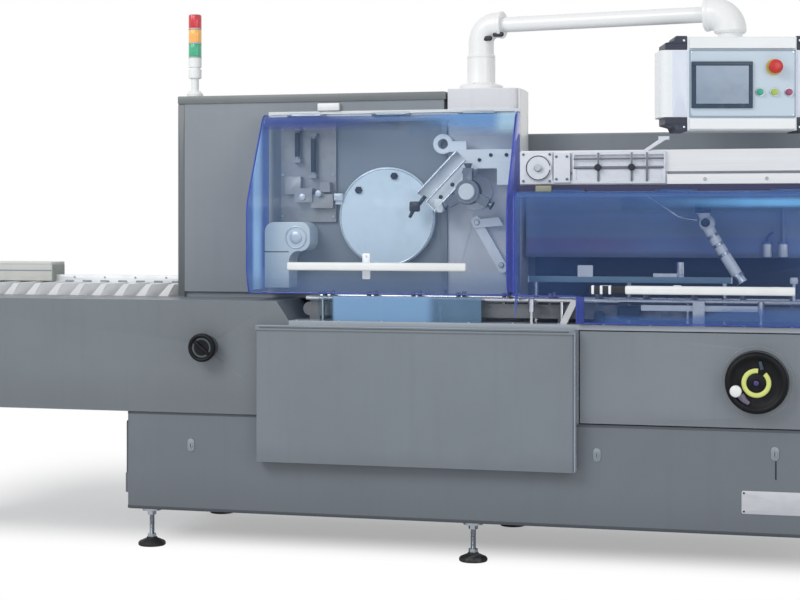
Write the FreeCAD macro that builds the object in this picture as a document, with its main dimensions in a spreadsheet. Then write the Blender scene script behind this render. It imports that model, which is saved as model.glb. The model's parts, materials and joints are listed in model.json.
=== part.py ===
"""Horizontal cartoning machine with lift-up guard hoods, a bucket-chain infeed and a pendant control box.

Layout axes: X runs with the product, Y from the operator side to the rear, Z up from the floor.
Sizes are millimetres. The layout's zero is the front left corner of the base; every finished
piece is shifted so that the origin lies under the middle of the whole machine.
"""
import FreeCAD, Part
import math
import os
import re

import Sketcher
from FreeCAD import Placement, Rotation, Vector

os.makedirs("parts", exist_ok=True)
doc = FreeCAD.newDocument("CartoningMachine")

SIZES = {
    "base_length": 2500,
    "body_depth": 880,
    "ground_clearance": 140,
    "base_top": 483,
    "body_bottom": 487,
    "panel_top": 801,
    "deck_top": 817,
    "infeed_top": 885,
    "base_inset": 10,
    "end_margin": 20,
    "base_lug_reach": 22,
    "base_lug_width": 50,
    "base_lug_level": 50,
    "base_lug_height": 70,
    "corner_radius": 22,
    "seat_gap": 0.3,
    "seam": 4,
    "foot_setback": 80,
    "foot_inset": 70,
    "foot_pad_radius": 49,
    "foot_stud_radius": 9,
    "foot_plate_radius": 34,
    "foot_pad_height": 10,
    "foot_nut_height": 20,
    "infeed_reach": 1000,
    "infeed_end": 612,
    "infeed_depth": 600,
    "trough_front": 280,
    "trough_width": 220,
    "trough_floor": 700,
    "trough_drop": 45,
    "chain_start": 880,
    "chain_end": 420,
    "chain_top": 880,
    "chain_radius": 60,
    "chain_thickness": 10,
    "chain_width": 200,
    "flight_height": 48,
    "flight_base": 40,
    "flight_lean": 30,
    "flight_pitch": 90,
    "chain_shaft_radius": 15,
    "leg_setback": 100,
    "leg_tube": 50,
    "leg_lift": 30,
    "leg_pad_height": 10,
    "guide_top": 951,
    "guide_thickness": 5,
    "guide_foot": 28,
    "cover_box_end": 325,
    "cover_box_top": 1006,
    "cover_box_depth": 78,
    "recess_start": 1625,
    "side_panel_thickness": 20,
    "cover_left": 505,
    "cover_right": 1617,
    "cover_bottom": 330,
    "cover_depth": 40,
    "cover_lip": 6,
    "cover_lip_height": 14,
    "cabinet_left": 109,
    "cabinet_lip": 26,
    "cabinet_lip_reach": 6,
    "cabinet_front": 250,
    "cabinet_top": 1621,
    "plinth_height": 20,
    "plinth_inset": 12,
    "tunnel_top": 1010,
    "tunnel_margin": 5,
    "housing_front": 480,
    "housing_top": 1478,
    "pillar_width": 255,
    "pillar_depth": 176,
    "pillar_top": 1631,
    "pillar_radius": 38,
    "pillar_gap": 14,
    "bearing_radius": 62,
    "bearing_depth": 16,
    "pillar_cover": 262,
    "guard_front": 300,
    "guard_bottom": 1037,
    "guard_sheet": 12,
    "guard_cylinder_radius": 15,
    "guard_cylinder_height": 52,
    "guard_cylinder_margin": 254,
    "guard_cylinder_spacing": 53,
    "guard_cylinder_level": 1040,
    "guard_rod_radius": 6,
    "guard_rod_height": 125,
    "beam_front": 75,
    "beam_depth": 230,
    "beam_bottom": 1284,
    "beam_top": 1401,
    "beam_wall": 14,
    "beam_floor": 12,
    "beam_groove_level": 1319,
    "beam_groove": 9,
    "beam_groove_depth": 6,
    "skid_width": 14,
    "skid_setback": 70,
    "skid_spacing": 90,
    "strip_depth": 10,
    "carriage_depth": 16,
    "carriage_length": 490,
    "carriage_rise": 48,
    "carriage_block": 112,
    "carriage_post": 12,
    "carriage_boss_radius": 44,
    "carriage_boss_depth": 8,
    "beam_shelf_reach": 60,
    "sheet": 5,
    "hood_hinge_radius": 9,
    "hood_pin_radius": 5,
    "hinge_clearance": 0.4,
    "hinge_side_gap": 1,
    "hinge_sleeve": 110,
    "hinge_lug": 14,
    "hood_back_gap": 6,
    "left_hood_start": 456,
    "left_hood_width": 927,
    "hood_gap": 24,
    "left_hood_bottom": 912,
    "left_hood_bend": 1222,
    "left_hood_top": 1545,
    "left_hood_lean": 179,
    "left_hinge_back": 22,
    "right_hood_bottom": 823,
    "right_hood_top": 1263,
    "right_hood_front": 20,
    "right_hinge_back": 30,
    "notch_width": 213,
    "notch_top": 912,
    "handle_depth": 24,
    "handle_height": 28,
    "handle_standoff": 30,
    "handle_bracket": 36,
    "left_handle_margin": 168,
    "left_handle_end": 132,
    "right_handle_margin": 265,
    "right_handle_end": 151,
    "handle_plate_height": 96,
    "left_handle_level": 1008,
    "right_handle_level": 938,
    "disc_level": 1179,
    "disc_radius": 176,
    "disc_thickness": 20,
    "disc_front": 224,
    "disc_boss_radius": 46,
    "disc_offset": 216,
    "disc_tab": 30,
    "feeder_level": 1264,
    "feeder_front": 100,
    "feeder_thickness": 44,
    "feeder_cup": 16,
    "feeder_hub_radius": 42,
    "feeder_reach": 98,
    "feeder_shaft_radius": 18,
    "feeder_shaft_seat": 40,
    "feeder_offset": 102,
    "running_gap": 0.1,
    "chute_front": 160,
    "chute_depth": 58,
    "chute_wall": 6,
    "chute_tilt": 46,
    "chute_width": 100,
    "chute_run": 213,
    "chute_recess": 20,
    "chute_offset": 23,
    "chute_level": 1192,
    "chute_top": 220,
    "chute_head": 274,
    "chute_foot": 56,
    "chute_drop": 96,
    "ring_radius": 35,
    "ring_bore": 18,
    "ring_depth": 50,
    "guide_arm_width": 34,
    "guide_arm_length": 222,
    "guide_arm_thickness": 20,
    "guide_arm_tilt": 30,
    "guide_arm_offset": 210,
    "guide_arm_level": 985,
    "guide_fork": 90,
    "slide_margin": 49,
    "slide_gap": 1,
    "slide_level": 1160,
    "slide_height": 355,
    "slide_plate": 12,
    "slide_rod_radius": 8,
    "slide_rod_front": 218,
    "slide_block": 28,
    "drive_margin": 16,
    "drive_level": 925,
    "drive_height": 235,
    "drive_depth": 100,
    "carton_chain_gap": 48,
    "carton_end_gap": 40,
    "carton_band_gap": 34,
    "carton_chain_top": 880,
    "carton_band_inset": 80,
    "carton_band": 26,
    "carton_wheel": 24,
    "carton_lug_pitch": 160,
    "carton_lug_height": 38,
    "carton_rail_level": 896,
    "carton_rail_radius": 8,
    "carton_rail_front": 56,
    "carton_rail_gap": 24,
    "carton_post_radius": 6,
    "post_offset": 103,
    "product_rail_front": 130,
    "product_rail_width": 20,
    "product_rail_level": 955,
    "product_rail_height": 20,
    "product_rail_length": 690,
    "product_rail_margin": 23,
    "rail_post_radius": 8,
    "knob_radius": 13,
    "knob_height": 51,
    "stub_front": 18,
    "stub_depth": 24,
    "stub_height": 83,
    "stub_first": 54,
    "stub_last": 811,
    "stub_plate_across": 592,
    "stub_wedge_across": 150,
    "stub_wedge_lean": 41,
    "low_guard_start": 715,
    "low_guard_margin": 93,
    "low_guard_front": 20,
    "low_guard_height": 86,
    "nozzle_offset": 611,
    "nozzle_front": 190,
    "nozzle_level": 1196,
    "nozzle_radius": 19,
    "nozzle_drop": 240,
    "nozzle_reach": 130,
    "nozzle_cap_radius": 24,
    "nozzle_ball_radius": 27,
    "nozzle_stem_radius": 12,
    "post_back": 338,
    "post_column_radius": 50,
    "post_flange_radius": 78,
    "post_top": 1745,
    "arm_level": 1860,
    "arm_length": 900,
    "arm_yaw": 10.2,
    "arm_tube_radius": 27,
    "elbow_radius": 55,
    "elbow_bend": 60,
    "box_yaw": 14.55,
    "box_width": 544,
    "box_height": 311,
    "box_top": 1774,
    "box_offset": 25,
    "box_depth": 150,
    "box_column": 96,
    "box_corner": 34,
    "box_frame": 44,
    "cap_inset": 5,
    "cap_step": 36,
    "cap_shoulder": 26,
    "cap_rise": 3,
    "frame_bar_depth": 12,
    "frame_bar_gap": 4,
    "bezel_margin": 7,
    "bezel_rise": -5,
    "panel_thickness": 6,
    "bezel_width": 202,
    "bezel_height": 154,
    "bezel_thickness": 8,
    "screen_margin": 14,
    "stop_across": 105,
    "stop_level": 54,
    "stop_radius": 23,
    "button_level": 29,
    "button_radius": 12,
    "button_spacing": 48,
    "tower_across": 153,
    "tower_back": 290,
    "tower_radius": 24,
    "tower_pole_height": 146,
    "lamp_height": 53,
    "tower_foot": 22,
    "wheel_level": 642,
    "wheel_margin": 293,
    "wheel_knob_across": 62,
    "wheel_knob_drop": 33,
    "wheel_knob_radius": 13,
    "wheel_knob_reach": 74,
    "wheel_ring_radius": 116,
    "wheel_ring_width": 14,
    "wheel_ring_depth": 8,
    "wheel_radius": 100,
    "wheel_shaft_radius": 14,
    "wheel_shaft_depth": 18,
    "small_wheel_across": 312,
    "small_wheel_level": 722,
    "small_wheel_radius": 50,
    "small_shaft_radius": 8,
    "outfeed_length": 400,
    "outfeed_front": 60,
    "outfeed_width": 260,
    "outfeed_drop": 96,
    "outfeed_wall": 14,
    "outfeed_shaft_margin": 40,
    "outfeed_sink": 6,
    "outfeed_lip": 24,
    "outfeed_bed": 20,
    "outfeed_roller": 26,
    "outfeed_belt_thickness": 4,
}

FOLLOWS = {
    "hood_join": "left_hood_start + left_hood_width",
    "right_hood_start": "hood_join + hood_gap",
    "right_hood_width": "base_length - end_margin - right_hood_start",
    "pillar_left": "hood_join - pillar_cover",
    "cabinet_right": "pillar_left - pillar_gap",
    "feeder_across": "pillar_left + feeder_offset",
    "post_across": "pillar_left + post_offset",
    "disc_across": "pillar_left - disc_offset",
    "guard_left": "right_hood_start - pillar_gap",
    "beam_left": "right_hood_start + sheet + seam",
    "carriage_end": "beam_left + carriage_length",
    "slide_left": "left_hood_start + slide_margin",
    "slide_width": "disc_across - disc_radius - disc_tab / 2 - slide_gap - slide_left",
    "drive_width": "slide_width * 23 / 52",
    "drive_reach": "slide_width * 85 / 104",
    "drive_head": "slide_width / 2",
    "carton_chain_start": "infeed_end + carton_chain_gap",
    "carton_chain_end": "base_length - carton_end_gap",
    "carton_rail_spacing": "cabinet_front - carton_rail_gap - carton_rail_front",
    "left_handle_start": "left_hood_start + left_handle_margin",
    "left_handle_length": "left_hood_width - left_handle_margin - left_handle_end",
    "right_handle_start": "right_hood_start + right_handle_margin",
    "right_handle_length": "right_hood_width - right_handle_margin - right_handle_end",
    "wheel_across": "base_length - wheel_margin",
}

sheet = doc.addObject("Spreadsheet::Sheet", "Sizes")
for row, (alias, number) in enumerate(SIZES.items(), start=1):
    sheet.set(f"A{row}", alias.replace("_", " "))
    sheet.set(f"B{row}", str(number))
    sheet.setAlias(f"B{row}", alias)
doc.recompute()

CENTRE_X = "(base_length + outfeed_length - infeed_reach) / 2"
CENTRE_Y = "(body_depth - handle_depth - handle_standoff - right_hood_front) / 2"
nodes = []


def size(alias):
    """One number of the sheet."""
    return float(sheet.get(alias))


def cells(formula):
    """The formula with each size turned into its cell, and each follower into its own formula."""

    def cell(word):
        name = word.group(0)
        if name in FOLLOWS:
            return "(" + cells(FOLLOWS[name]) + ")"
        return "Sizes." + name if name in SIZES else name

    return re.sub(r"[a-z]\w*", cell, str(formula))


def bind(piece, field, formula):
    piece.setExpression(field, cells(formula))


def move(piece, x="0", y="0", z="0"):
    """Bind the place of a piece to formulas of the sheet."""
    bind(piece, "Placement.Base.x", x)
    bind(piece, "Placement.Base.y", y)
    bind(piece, "Placement.Base.z", z)


def finish(piece, label, x="0", y="0", z="0"):
    """Name a finished sub-part and put it at its layout place, seen from the machine's middle."""
    piece.Label = label
    move(piece, f"{x} - ({CENTRE_X})", f"{y} - ({CENTRE_Y})", z)
    nodes.append(piece)
    return piece


def block(name, x, y, z, dx, dy, dz):
    piece = doc.addObject("Part::Box", name)
    bind(piece, "Length", dx)
    bind(piece, "Width", dy)
    bind(piece, "Height", dz)
    move(piece, x, y, z)
    return piece


TURN_TO = {"x": Rotation(Vector(0, 1, 0), 90), "y": Rotation(Vector(1, 0, 0), -90), "z": Rotation()}


def bar(name, along, x, y, z, radius, length):
    """A round bar that starts at a point and runs along one axis."""
    piece = doc.addObject("Part::Cylinder", name)
    bind(piece, "Radius", radius)
    bind(piece, "Height", length)
    piece.Placement = Placement(Vector(), TURN_TO[along])
    move(piece, x, y, z)
    return piece


def join(name, pieces):
    piece = doc.addObject("Part::MultiFuse", name)
    piece.Shapes = pieces
    piece.Refine = True
    return piece


def remove(name, base, tool):
    piece = doc.addObject("Part::Cut", name)
    piece.Base = base
    piece.Tool = tool
    return piece


def group(name, pieces):
    piece = doc.addObject("Part::Compound", name)
    piece.Links = pieces
    return piece


def edges_along(shape, direction, keep=lambda point: True):
    """Numbers of the straight edges that run along a direction and whose middle passes a test."""
    found = []
    for number, edge in enumerate(shape.Edges, start=1):
        if edge.Curve.TypeId != "Part::GeomLine":
            continue
        if abs(edge.Curve.Direction.dot(direction)) > 0.999 and keep(edge.CenterOfMass):
            found.append(number)
    return found


def rounded(name, base, radius, direction, keep=lambda point: True):
    doc.recompute()
    piece = doc.addObject("Part::Fillet", name)
    piece.Base = base
    piece.Edges = [(number, size(radius), size(radius)) for number in edges_along(base.Shape, direction,
                                                                                  keep)]
    return piece


def new_body(name):
    return doc.addObject("PartDesign::Body", name)


def sketch_on(body, name, plane, offset="0"):
    support = [feature for feature in body.Origin.OriginFeatures if feature.Role == plane][0]
    sketch = body.newObject("Sketcher::SketchObject", name)
    sketch.AttachmentSupport = [(support, "")]
    sketch.MapMode = "FlatFace"
    bind(sketch, "AttachmentOffset.Base.z", offset)
    return sketch


def outline(body, name, plane, corners, offset="0"):
    """A closed outline of straight lines, each corner held by two formulas of the sheet."""
    sketch = sketch_on(body, name, plane, offset)
    count = len(corners)
    start = [
        Vector(100 * math.cos(2 * math.pi * i / count), 100 * math.sin(2 * math.pi * i / count), 0)
        for i in range(count)
    ]
    for i in range(count):
        sketch.addGeometry(Part.LineSegment(start[i], start[(i + 1) % count]), False)
    for i in range(count):
        sketch.addConstraint(Sketcher.Constraint("Coincident", i, 2, (i + 1) % count, 1))
    for i, corner in enumerate(corners):
        across = sketch.addConstraint(Sketcher.Constraint("DistanceX", -1, 1, i, 1, start[i].x))
        bind(sketch, f"Constraints[{across}]", corner[0])
        upward = sketch.addConstraint(Sketcher.Constraint("DistanceY", -1, 1, i, 1, start[i].y))
        bind(sketch, f"Constraints[{upward}]", corner[1])
    return sketch


def circle(body, name, plane, across, up, radius, offset="0"):
    """A circle whose centre and radius are held by formulas."""
    sketch = sketch_on(body, name, plane, offset)
    sketch.addGeometry(Part.Circle(Vector(10, 10, 0), Vector(0, 0, 1), 10), False)
    for kind, formula in (("DistanceX", across), ("DistanceY", up)):
        number = sketch.addConstraint(Sketcher.Constraint(kind, -1, 1, 0, 3, 10))
        bind(sketch, f"Constraints[{number}]", formula)
    number = sketch.addConstraint(Sketcher.Constraint("Radius", 0, 10))
    bind(sketch, f"Constraints[{number}]", radius)
    return sketch


def pad(body, sketch, length, backward=False):
    feature = body.newObject("PartDesign::Pad", sketch.Name + "Pad")
    feature.Profile = sketch
    bind(feature, "Length", length)
    feature.Reversed = backward
    return feature


def pocket(body, sketch, length, backward=False):
    feature = body.newObject("PartDesign::Pocket", sketch.Name + "Pocket")
    feature.Profile = sketch
    bind(feature, "Length", length)
    feature.Reversed = backward
    return feature


def fillet(body, base, radius, direction, keep=lambda point: True):
    doc.recompute()
    feature = body.newObject("PartDesign::Fillet", base.Name + "Fillet")
    feature.Base = (base, [f"Edge{number}" for number in edges_along(base.Shape, direction, keep)])
    bind(feature, "Radius", radius)
    return feature


def turned(name, corners):
    """A body turned about its own Z axis from an outline of (radius, height) corners."""
    body = new_body(name)
    sketch = outline(body, name + "Profile", "XZ_Plane", corners)
    feature = body.newObject("PartDesign::Revolution", name + "Turn")
    feature.Profile = sketch
    feature.ReferenceAxis = (sketch, ["V_Axis"])
    feature.Angle = 360
    return body


ALONG_X, ALONG_Y, ALONG_Z = Vector(1, 0, 0), Vector(0, 1, 0), Vector(0, 0, 1)


def rectangle(left, low, right, high):
    """The four corners of an upright rectangle, as formulas."""
    return [(left, low), (right, low), (right, high), (left, high)]


def stadium(left, right, front, level, radius, width):
    """A solid with two straight runs and two half circles, as a belt round two wheels fills it."""
    top, low = Vector(left, front, level + radius), Vector(left, front, level - radius)
    far_top, far_low = Vector(right, front, level + radius), Vector(right, front, level - radius)
    wire = Part.Wire([
        Part.LineSegment(top, far_top).toShape(),
        Part.Arc(far_top, Vector(right + radius, front, level), far_low).toShape(),
        Part.LineSegment(far_low, low).toShape(),
        Part.Arc(low, Vector(left - radius, front, level), top).toShape(),
    ])
    return Part.Face(wire).extrude(Vector(0, width, 0))


def shaped(name, shape):
    """A document object round a shape that no ready feature makes."""
    piece = doc.addObject("Part::Feature", name)
    piece.Shape = shape
    return piece


def make_base():
    """Lower housing: a welded box with rounded upright corners and a set-back strip under the seam."""
    body = new_body("BaseBody")
    plan = [
        ("0", "base_inset"),
        ("base_length", "base_inset"),
        ("base_length", "body_depth - base_inset"),
        ("0", "body_depth - base_inset"),
    ]
    main = pad(body, outline(body, "BasePlan", "XY_Plane", plan), "base_top - ground_clearance")
    fillet(body, main, "corner_radius", ALONG_Z)
    strip = [
        ("corner_radius", "base_inset + corner_radius"),
        ("base_length - corner_radius", "base_inset + corner_radius"),
        ("base_length - corner_radius", "body_depth - base_inset - corner_radius"),
        ("corner_radius", "body_depth - base_inset - corner_radius"),
    ]
    seam_strip = outline(body, "BaseSeam", "XY_Plane", strip, "base_top - ground_clearance")
    pad(body, seam_strip, "body_bottom - base_top")
    lug = rectangle("foot_setback - base_lug_width / 2", "base_lug_level",
                    "foot_setback + base_lug_width / 2",
                    "base_lug_level + base_lug_height")
    pad(body, outline(body, "BaseLug", "YZ_Plane", lug, "-base_lug_reach"), "base_lug_reach + seam")
    finish(body, "base_frame", z="ground_clearance")


def make_feet():
    """Levelling feet: domed pad, stud, lock nut and mounting plate, three under each long side."""
    profile = [
        ("0", "0"),
        ("foot_pad_radius", "0"),
        ("foot_pad_radius", "foot_pad_height"),
        ("foot_pad_radius * 0.55", "foot_pad_height * 2.4"),
        ("foot_stud_radius * 2", "foot_pad_height * 3.4"),
        ("foot_stud_radius", "foot_pad_height * 3.6"),
        ("foot_stud_radius", "ground_clearance - foot_pad_height - foot_nut_height"),
        ("foot_stud_radius * 2", "ground_clearance - foot_pad_height - foot_nut_height"),
        ("foot_stud_radius * 2", "ground_clearance - foot_pad_height"),
        ("foot_plate_radius", "ground_clearance - foot_pad_height"),
        ("foot_plate_radius", "ground_clearance"),
        ("0", "ground_clearance"),
    ]
    places = ("foot_inset", "base_length / 2", "base_length - foot_inset")
    for side, depth in (("front", "foot_setback"), ("rear", "body_depth - foot_setback")):
        feet = []
        for number, across in enumerate(places):
            foot = turned(f"Foot{side}{number}", profile)
            move(foot, across, depth, "0")
            feet.append(foot)
        finish(group(f"Feet{side}", feet), f"feet_{side}")


def make_infeed():
    """Infeed housing with its open trough, the chain track, the bucket chain, guide, cover and leg."""
    body = new_body("InfeedBody")
    side = [
        ("-infeed_reach", "body_bottom"),
        ("infeed_end", "body_bottom"),
        ("infeed_end", "deck_top"),
        ("infeed_end - trough_drop", "infeed_top"),
        ("-infeed_reach", "infeed_top"),
    ]
    main = pad(body, outline(body, "InfeedSide", "XZ_Plane", side), "infeed_depth", True)
    doc.recompute()
    trough = [
        ("trough_front", "trough_floor"),
        ("trough_front + trough_width", "trough_floor"),
        ("trough_front + trough_width", "infeed_top + 10"),
        ("trough_front", "infeed_top + 10"),
    ]
    cut = outline(body, "InfeedTrough", "YZ_Plane", trough, "-infeed_reach - 1")
    pocket(body, cut, "infeed_reach + 1 + chain_end + chain_radius + flight_height + 14", True)
    bore = circle(body, "InfeedBore", "XZ_Plane", "small_wheel_across", "small_wheel_level",
                  "small_shaft_radius + running_gap")
    pocket(body, bore, "wheel_shaft_depth + 2", False)
    finish(body, "infeed_housing")

    centre_level = "chain_top - chain_radius"
    inner = "chain_radius - chain_thickness - seat_gap"
    track = join(
        "TrackPieces",
        [
            block("TrackBed", "-chain_start", "trough_front + trough_width / 2 - chain_width / 2 + 20",
                  f"{centre_level} - ({inner})", "chain_start + chain_end", "chain_width - 40",
                  f"2 * ({inner})"),
            bar("TrackHead", "y", "-chain_start", "trough_front + trough_width / 2 - chain_width / 2 + 20",
                centre_level, inner, "chain_width - 40"),
            bar("TrackTail", "y", "chain_end", "trough_front + trough_width / 2 - chain_width / 2 + 20",
                centre_level, inner, "chain_width - 40"),
            bar("TrackHeadShaft", "y", "-chain_start", "trough_front", centre_level, "chain_shaft_radius",
                "trough_width"),
            bar("TrackTailShaft", "y", "chain_end", "trough_front", centre_level, "chain_shaft_radius",
                "trough_width"),
        ],
    )
    finish(track, "infeed_track")

    finish(shaped("InfeedChain", bucket_chain()), "infeed_chain")

    guide = join(
        "GuidePieces",
        [
            block("GuideWall", "-cover_box_end", "trough_front + trough_width", "infeed_top",
                  "cover_box_end + cabinet_left - seam", "guide_thickness", "guide_top - infeed_top"),
            block("GuideFoot", "-cover_box_end", "trough_front + trough_width", "infeed_top",
                  "cover_box_end + cabinet_left - seam", "guide_foot", "guide_thickness"),
        ],
    )
    finish(guide, "infeed_guide")

    box = block("CoverBox", "-infeed_reach", "trough_front + trough_width", "infeed_top",
                "infeed_reach - cover_box_end - seat_gap", "cover_box_depth", "cover_box_top - infeed_top")
    finish(rounded("CoverBoxRound", box, "corner_radius", ALONG_X,
                   lambda point: point.z > size("infeed_top") + 5),
           "infeed_cover")

    pieces = []
    for number, depth in enumerate(("foot_setback", "infeed_depth - foot_setback")):
        middle = "-infeed_reach + leg_setback + leg_tube / 2"
        pieces.append(block(f"LegTube{number}", "-infeed_reach + leg_setback", f"{depth} - leg_tube / 2",
                            "leg_lift",
                            "leg_tube", "leg_tube", "body_bottom - leg_lift"))
        pieces.append(bar(f"LegStud{number}", "z", middle, depth, "leg_pad_height / 2", "foot_stud_radius",
                          "leg_lift"))
        pieces.append(bar(f"LegPad{number}", "z", middle, depth, "0", "foot_pad_radius * 0.8",
                          "leg_pad_height"))
    pieces.append(block("LegBar", "-infeed_reach + leg_setback + leg_tube / 5", "foot_setback",
                        "leg_tube * 3",
                        "leg_tube * 0.6", "infeed_depth - 2 * foot_setback", "leg_tube * 0.8"))
    finish(join("LegPieces", pieces), "infeed_leg")


def bucket_chain():
    """The endless bucket chain: a slat band round two wheels, with leaning flights at an even pitch."""
    level = size("chain_top") - size("chain_radius")
    outer = size("chain_radius")
    left, right = -size("chain_start"), size("chain_end")
    front = size("trough_front") + (size("trough_width") - size("chain_width")) / 2
    width = size("chain_width")
    band = stadium(left, right, front, level, outer, width)
    band = band.cut(stadium(left, right, front, level, outer - size("chain_thickness"), width))
    straight = right - left
    loop = 2 * straight + 2 * math.pi * outer
    count = int(loop / size("flight_pitch"))
    flight = bucket_flight(width)
    flights = []
    for number in range(count):
        run = loop * number / count
        copy = flight.copy()
        if run < straight:
            place = Placement(Vector(left + run, front, level + outer), Rotation())
        elif run < straight + math.pi * outer:
            angle = (run - straight) / outer
            centre = Vector(right + outer * math.sin(angle), front, level + outer * math.cos(angle))
            place = Placement(centre, Rotation(Vector(0, 1, 0), math.degrees(angle)))
        elif run < 2 * straight + math.pi * outer:
            back = run - straight - math.pi * outer
            place = Placement(Vector(right - back, front, level - outer), Rotation(Vector(0, 1, 0), 180))
        else:
            angle = math.pi + (run - 2 * straight - math.pi * outer) / outer
            centre = Vector(left + outer * math.sin(angle), front, level + outer * math.cos(angle))
            place = Placement(centre, Rotation(Vector(0, 1, 0), math.degrees(angle)))
        copy.Placement = place
        flights.append(copy)
    return band.fuse(flights).removeSplitter()


def bucket_flight(width):
    """One flight, standing at zero: a leaning plate with a thick foot."""
    base, lean, tall = size("flight_base"), size("flight_lean"), size("flight_height")
    corners = [
        Vector(-base / 2, 0, -1),
        Vector(base / 2, 0, -1),
        Vector(base / 2 + lean * 0.55, 0, tall * 0.62),
        Vector(base / 2 + lean, 0, tall),
        Vector(lean - base * 0.1, 0, tall),
    ]
    return Part.Face(Part.makePolygon(corners + corners[:1])).extrude(Vector(0, width, 0))


def make_upper_body():
    """Upper housing with its recess for the right front panel, the panel, front cover and steel deck."""
    body = new_body("UpperBody")
    plan = [
        ("infeed_end", "0"),
        ("recess_start", "0"),
        ("recess_start", "side_panel_thickness"),
        ("base_length", "side_panel_thickness"),
        ("base_length", "body_depth"),
        ("0", "body_depth"),
        ("0", "infeed_depth"),
        ("infeed_end", "infeed_depth"),
    ]
    pad(body, outline(body, "UpperPlan", "XY_Plane", plan, "body_bottom"), "panel_top - body_bottom")
    step = [
        ("0", "infeed_depth"),
        ("infeed_end", "infeed_depth"),
        ("infeed_end", "body_depth"),
        ("0", "body_depth"),
    ]
    pad(body, outline(body, "UpperStep", "XY_Plane", step, "panel_top"), "infeed_top - panel_top")
    finish(body, "upper_body")

    panel = new_body("SidePanel")
    face = [
        ("recess_start + seam", "body_bottom + seam"),
        ("base_length - seam", "body_bottom + seam"),
        ("base_length - seam", "panel_top - seam"),
        ("recess_start + seam", "panel_top - seam"),
    ]
    pad(panel, outline(panel, "SidePanelFace", "XZ_Plane", face), "side_panel_thickness", True)
    ring = circle(panel, "WheelRing", "XZ_Plane", "wheel_across", "wheel_level", "wheel_ring_radius")
    pad(panel, ring, "wheel_ring_depth")
    doc.recompute()
    hollow = circle(panel, "WheelRingHollow", "XZ_Plane", "wheel_across", "wheel_level",
                    "wheel_ring_radius - wheel_ring_width", "wheel_ring_depth")
    pocket(panel, hollow, "wheel_ring_depth")
    bore = circle(panel, "SidePanelBore", "XZ_Plane", "wheel_across", "wheel_level",
                  "wheel_shaft_radius + running_gap")
    pocket(panel, bore, "side_panel_thickness")
    finish(panel, "right_panel")

    cover = new_body("FrontCover")
    face = [
        ("cover_left", "cover_bottom"),
        ("cover_right", "cover_bottom"),
        ("cover_right", "panel_top"),
        ("cover_left", "panel_top"),
    ]
    plate = pad(cover, outline(cover, "CoverFace", "XZ_Plane", face), "cover_depth")
    lip = [
        ("cover_left", "panel_top - cover_lip_height"),
        ("cover_right", "panel_top - cover_lip_height"),
        ("cover_right", "panel_top"),
        ("cover_left", "panel_top"),
    ]
    fillet(cover, plate, "10", ALONG_Z, lambda point: point.y < -10)
    pad(cover, outline(cover, "CoverLip", "XZ_Plane", lip, "cover_depth - 1"), "cover_lip + 1")
    finish(cover, "front_cover")

    deck = block("Deck", "infeed_end", "0", "panel_top", "base_length - infeed_end", "body_depth",
                 "deck_top - panel_top")
    finish(rounded("DeckEdge", deck, "seam", ALONG_X,
                   lambda point: point.y < 1 and point.z > size("panel_top") + 1),
           "deck_plate")


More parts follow.
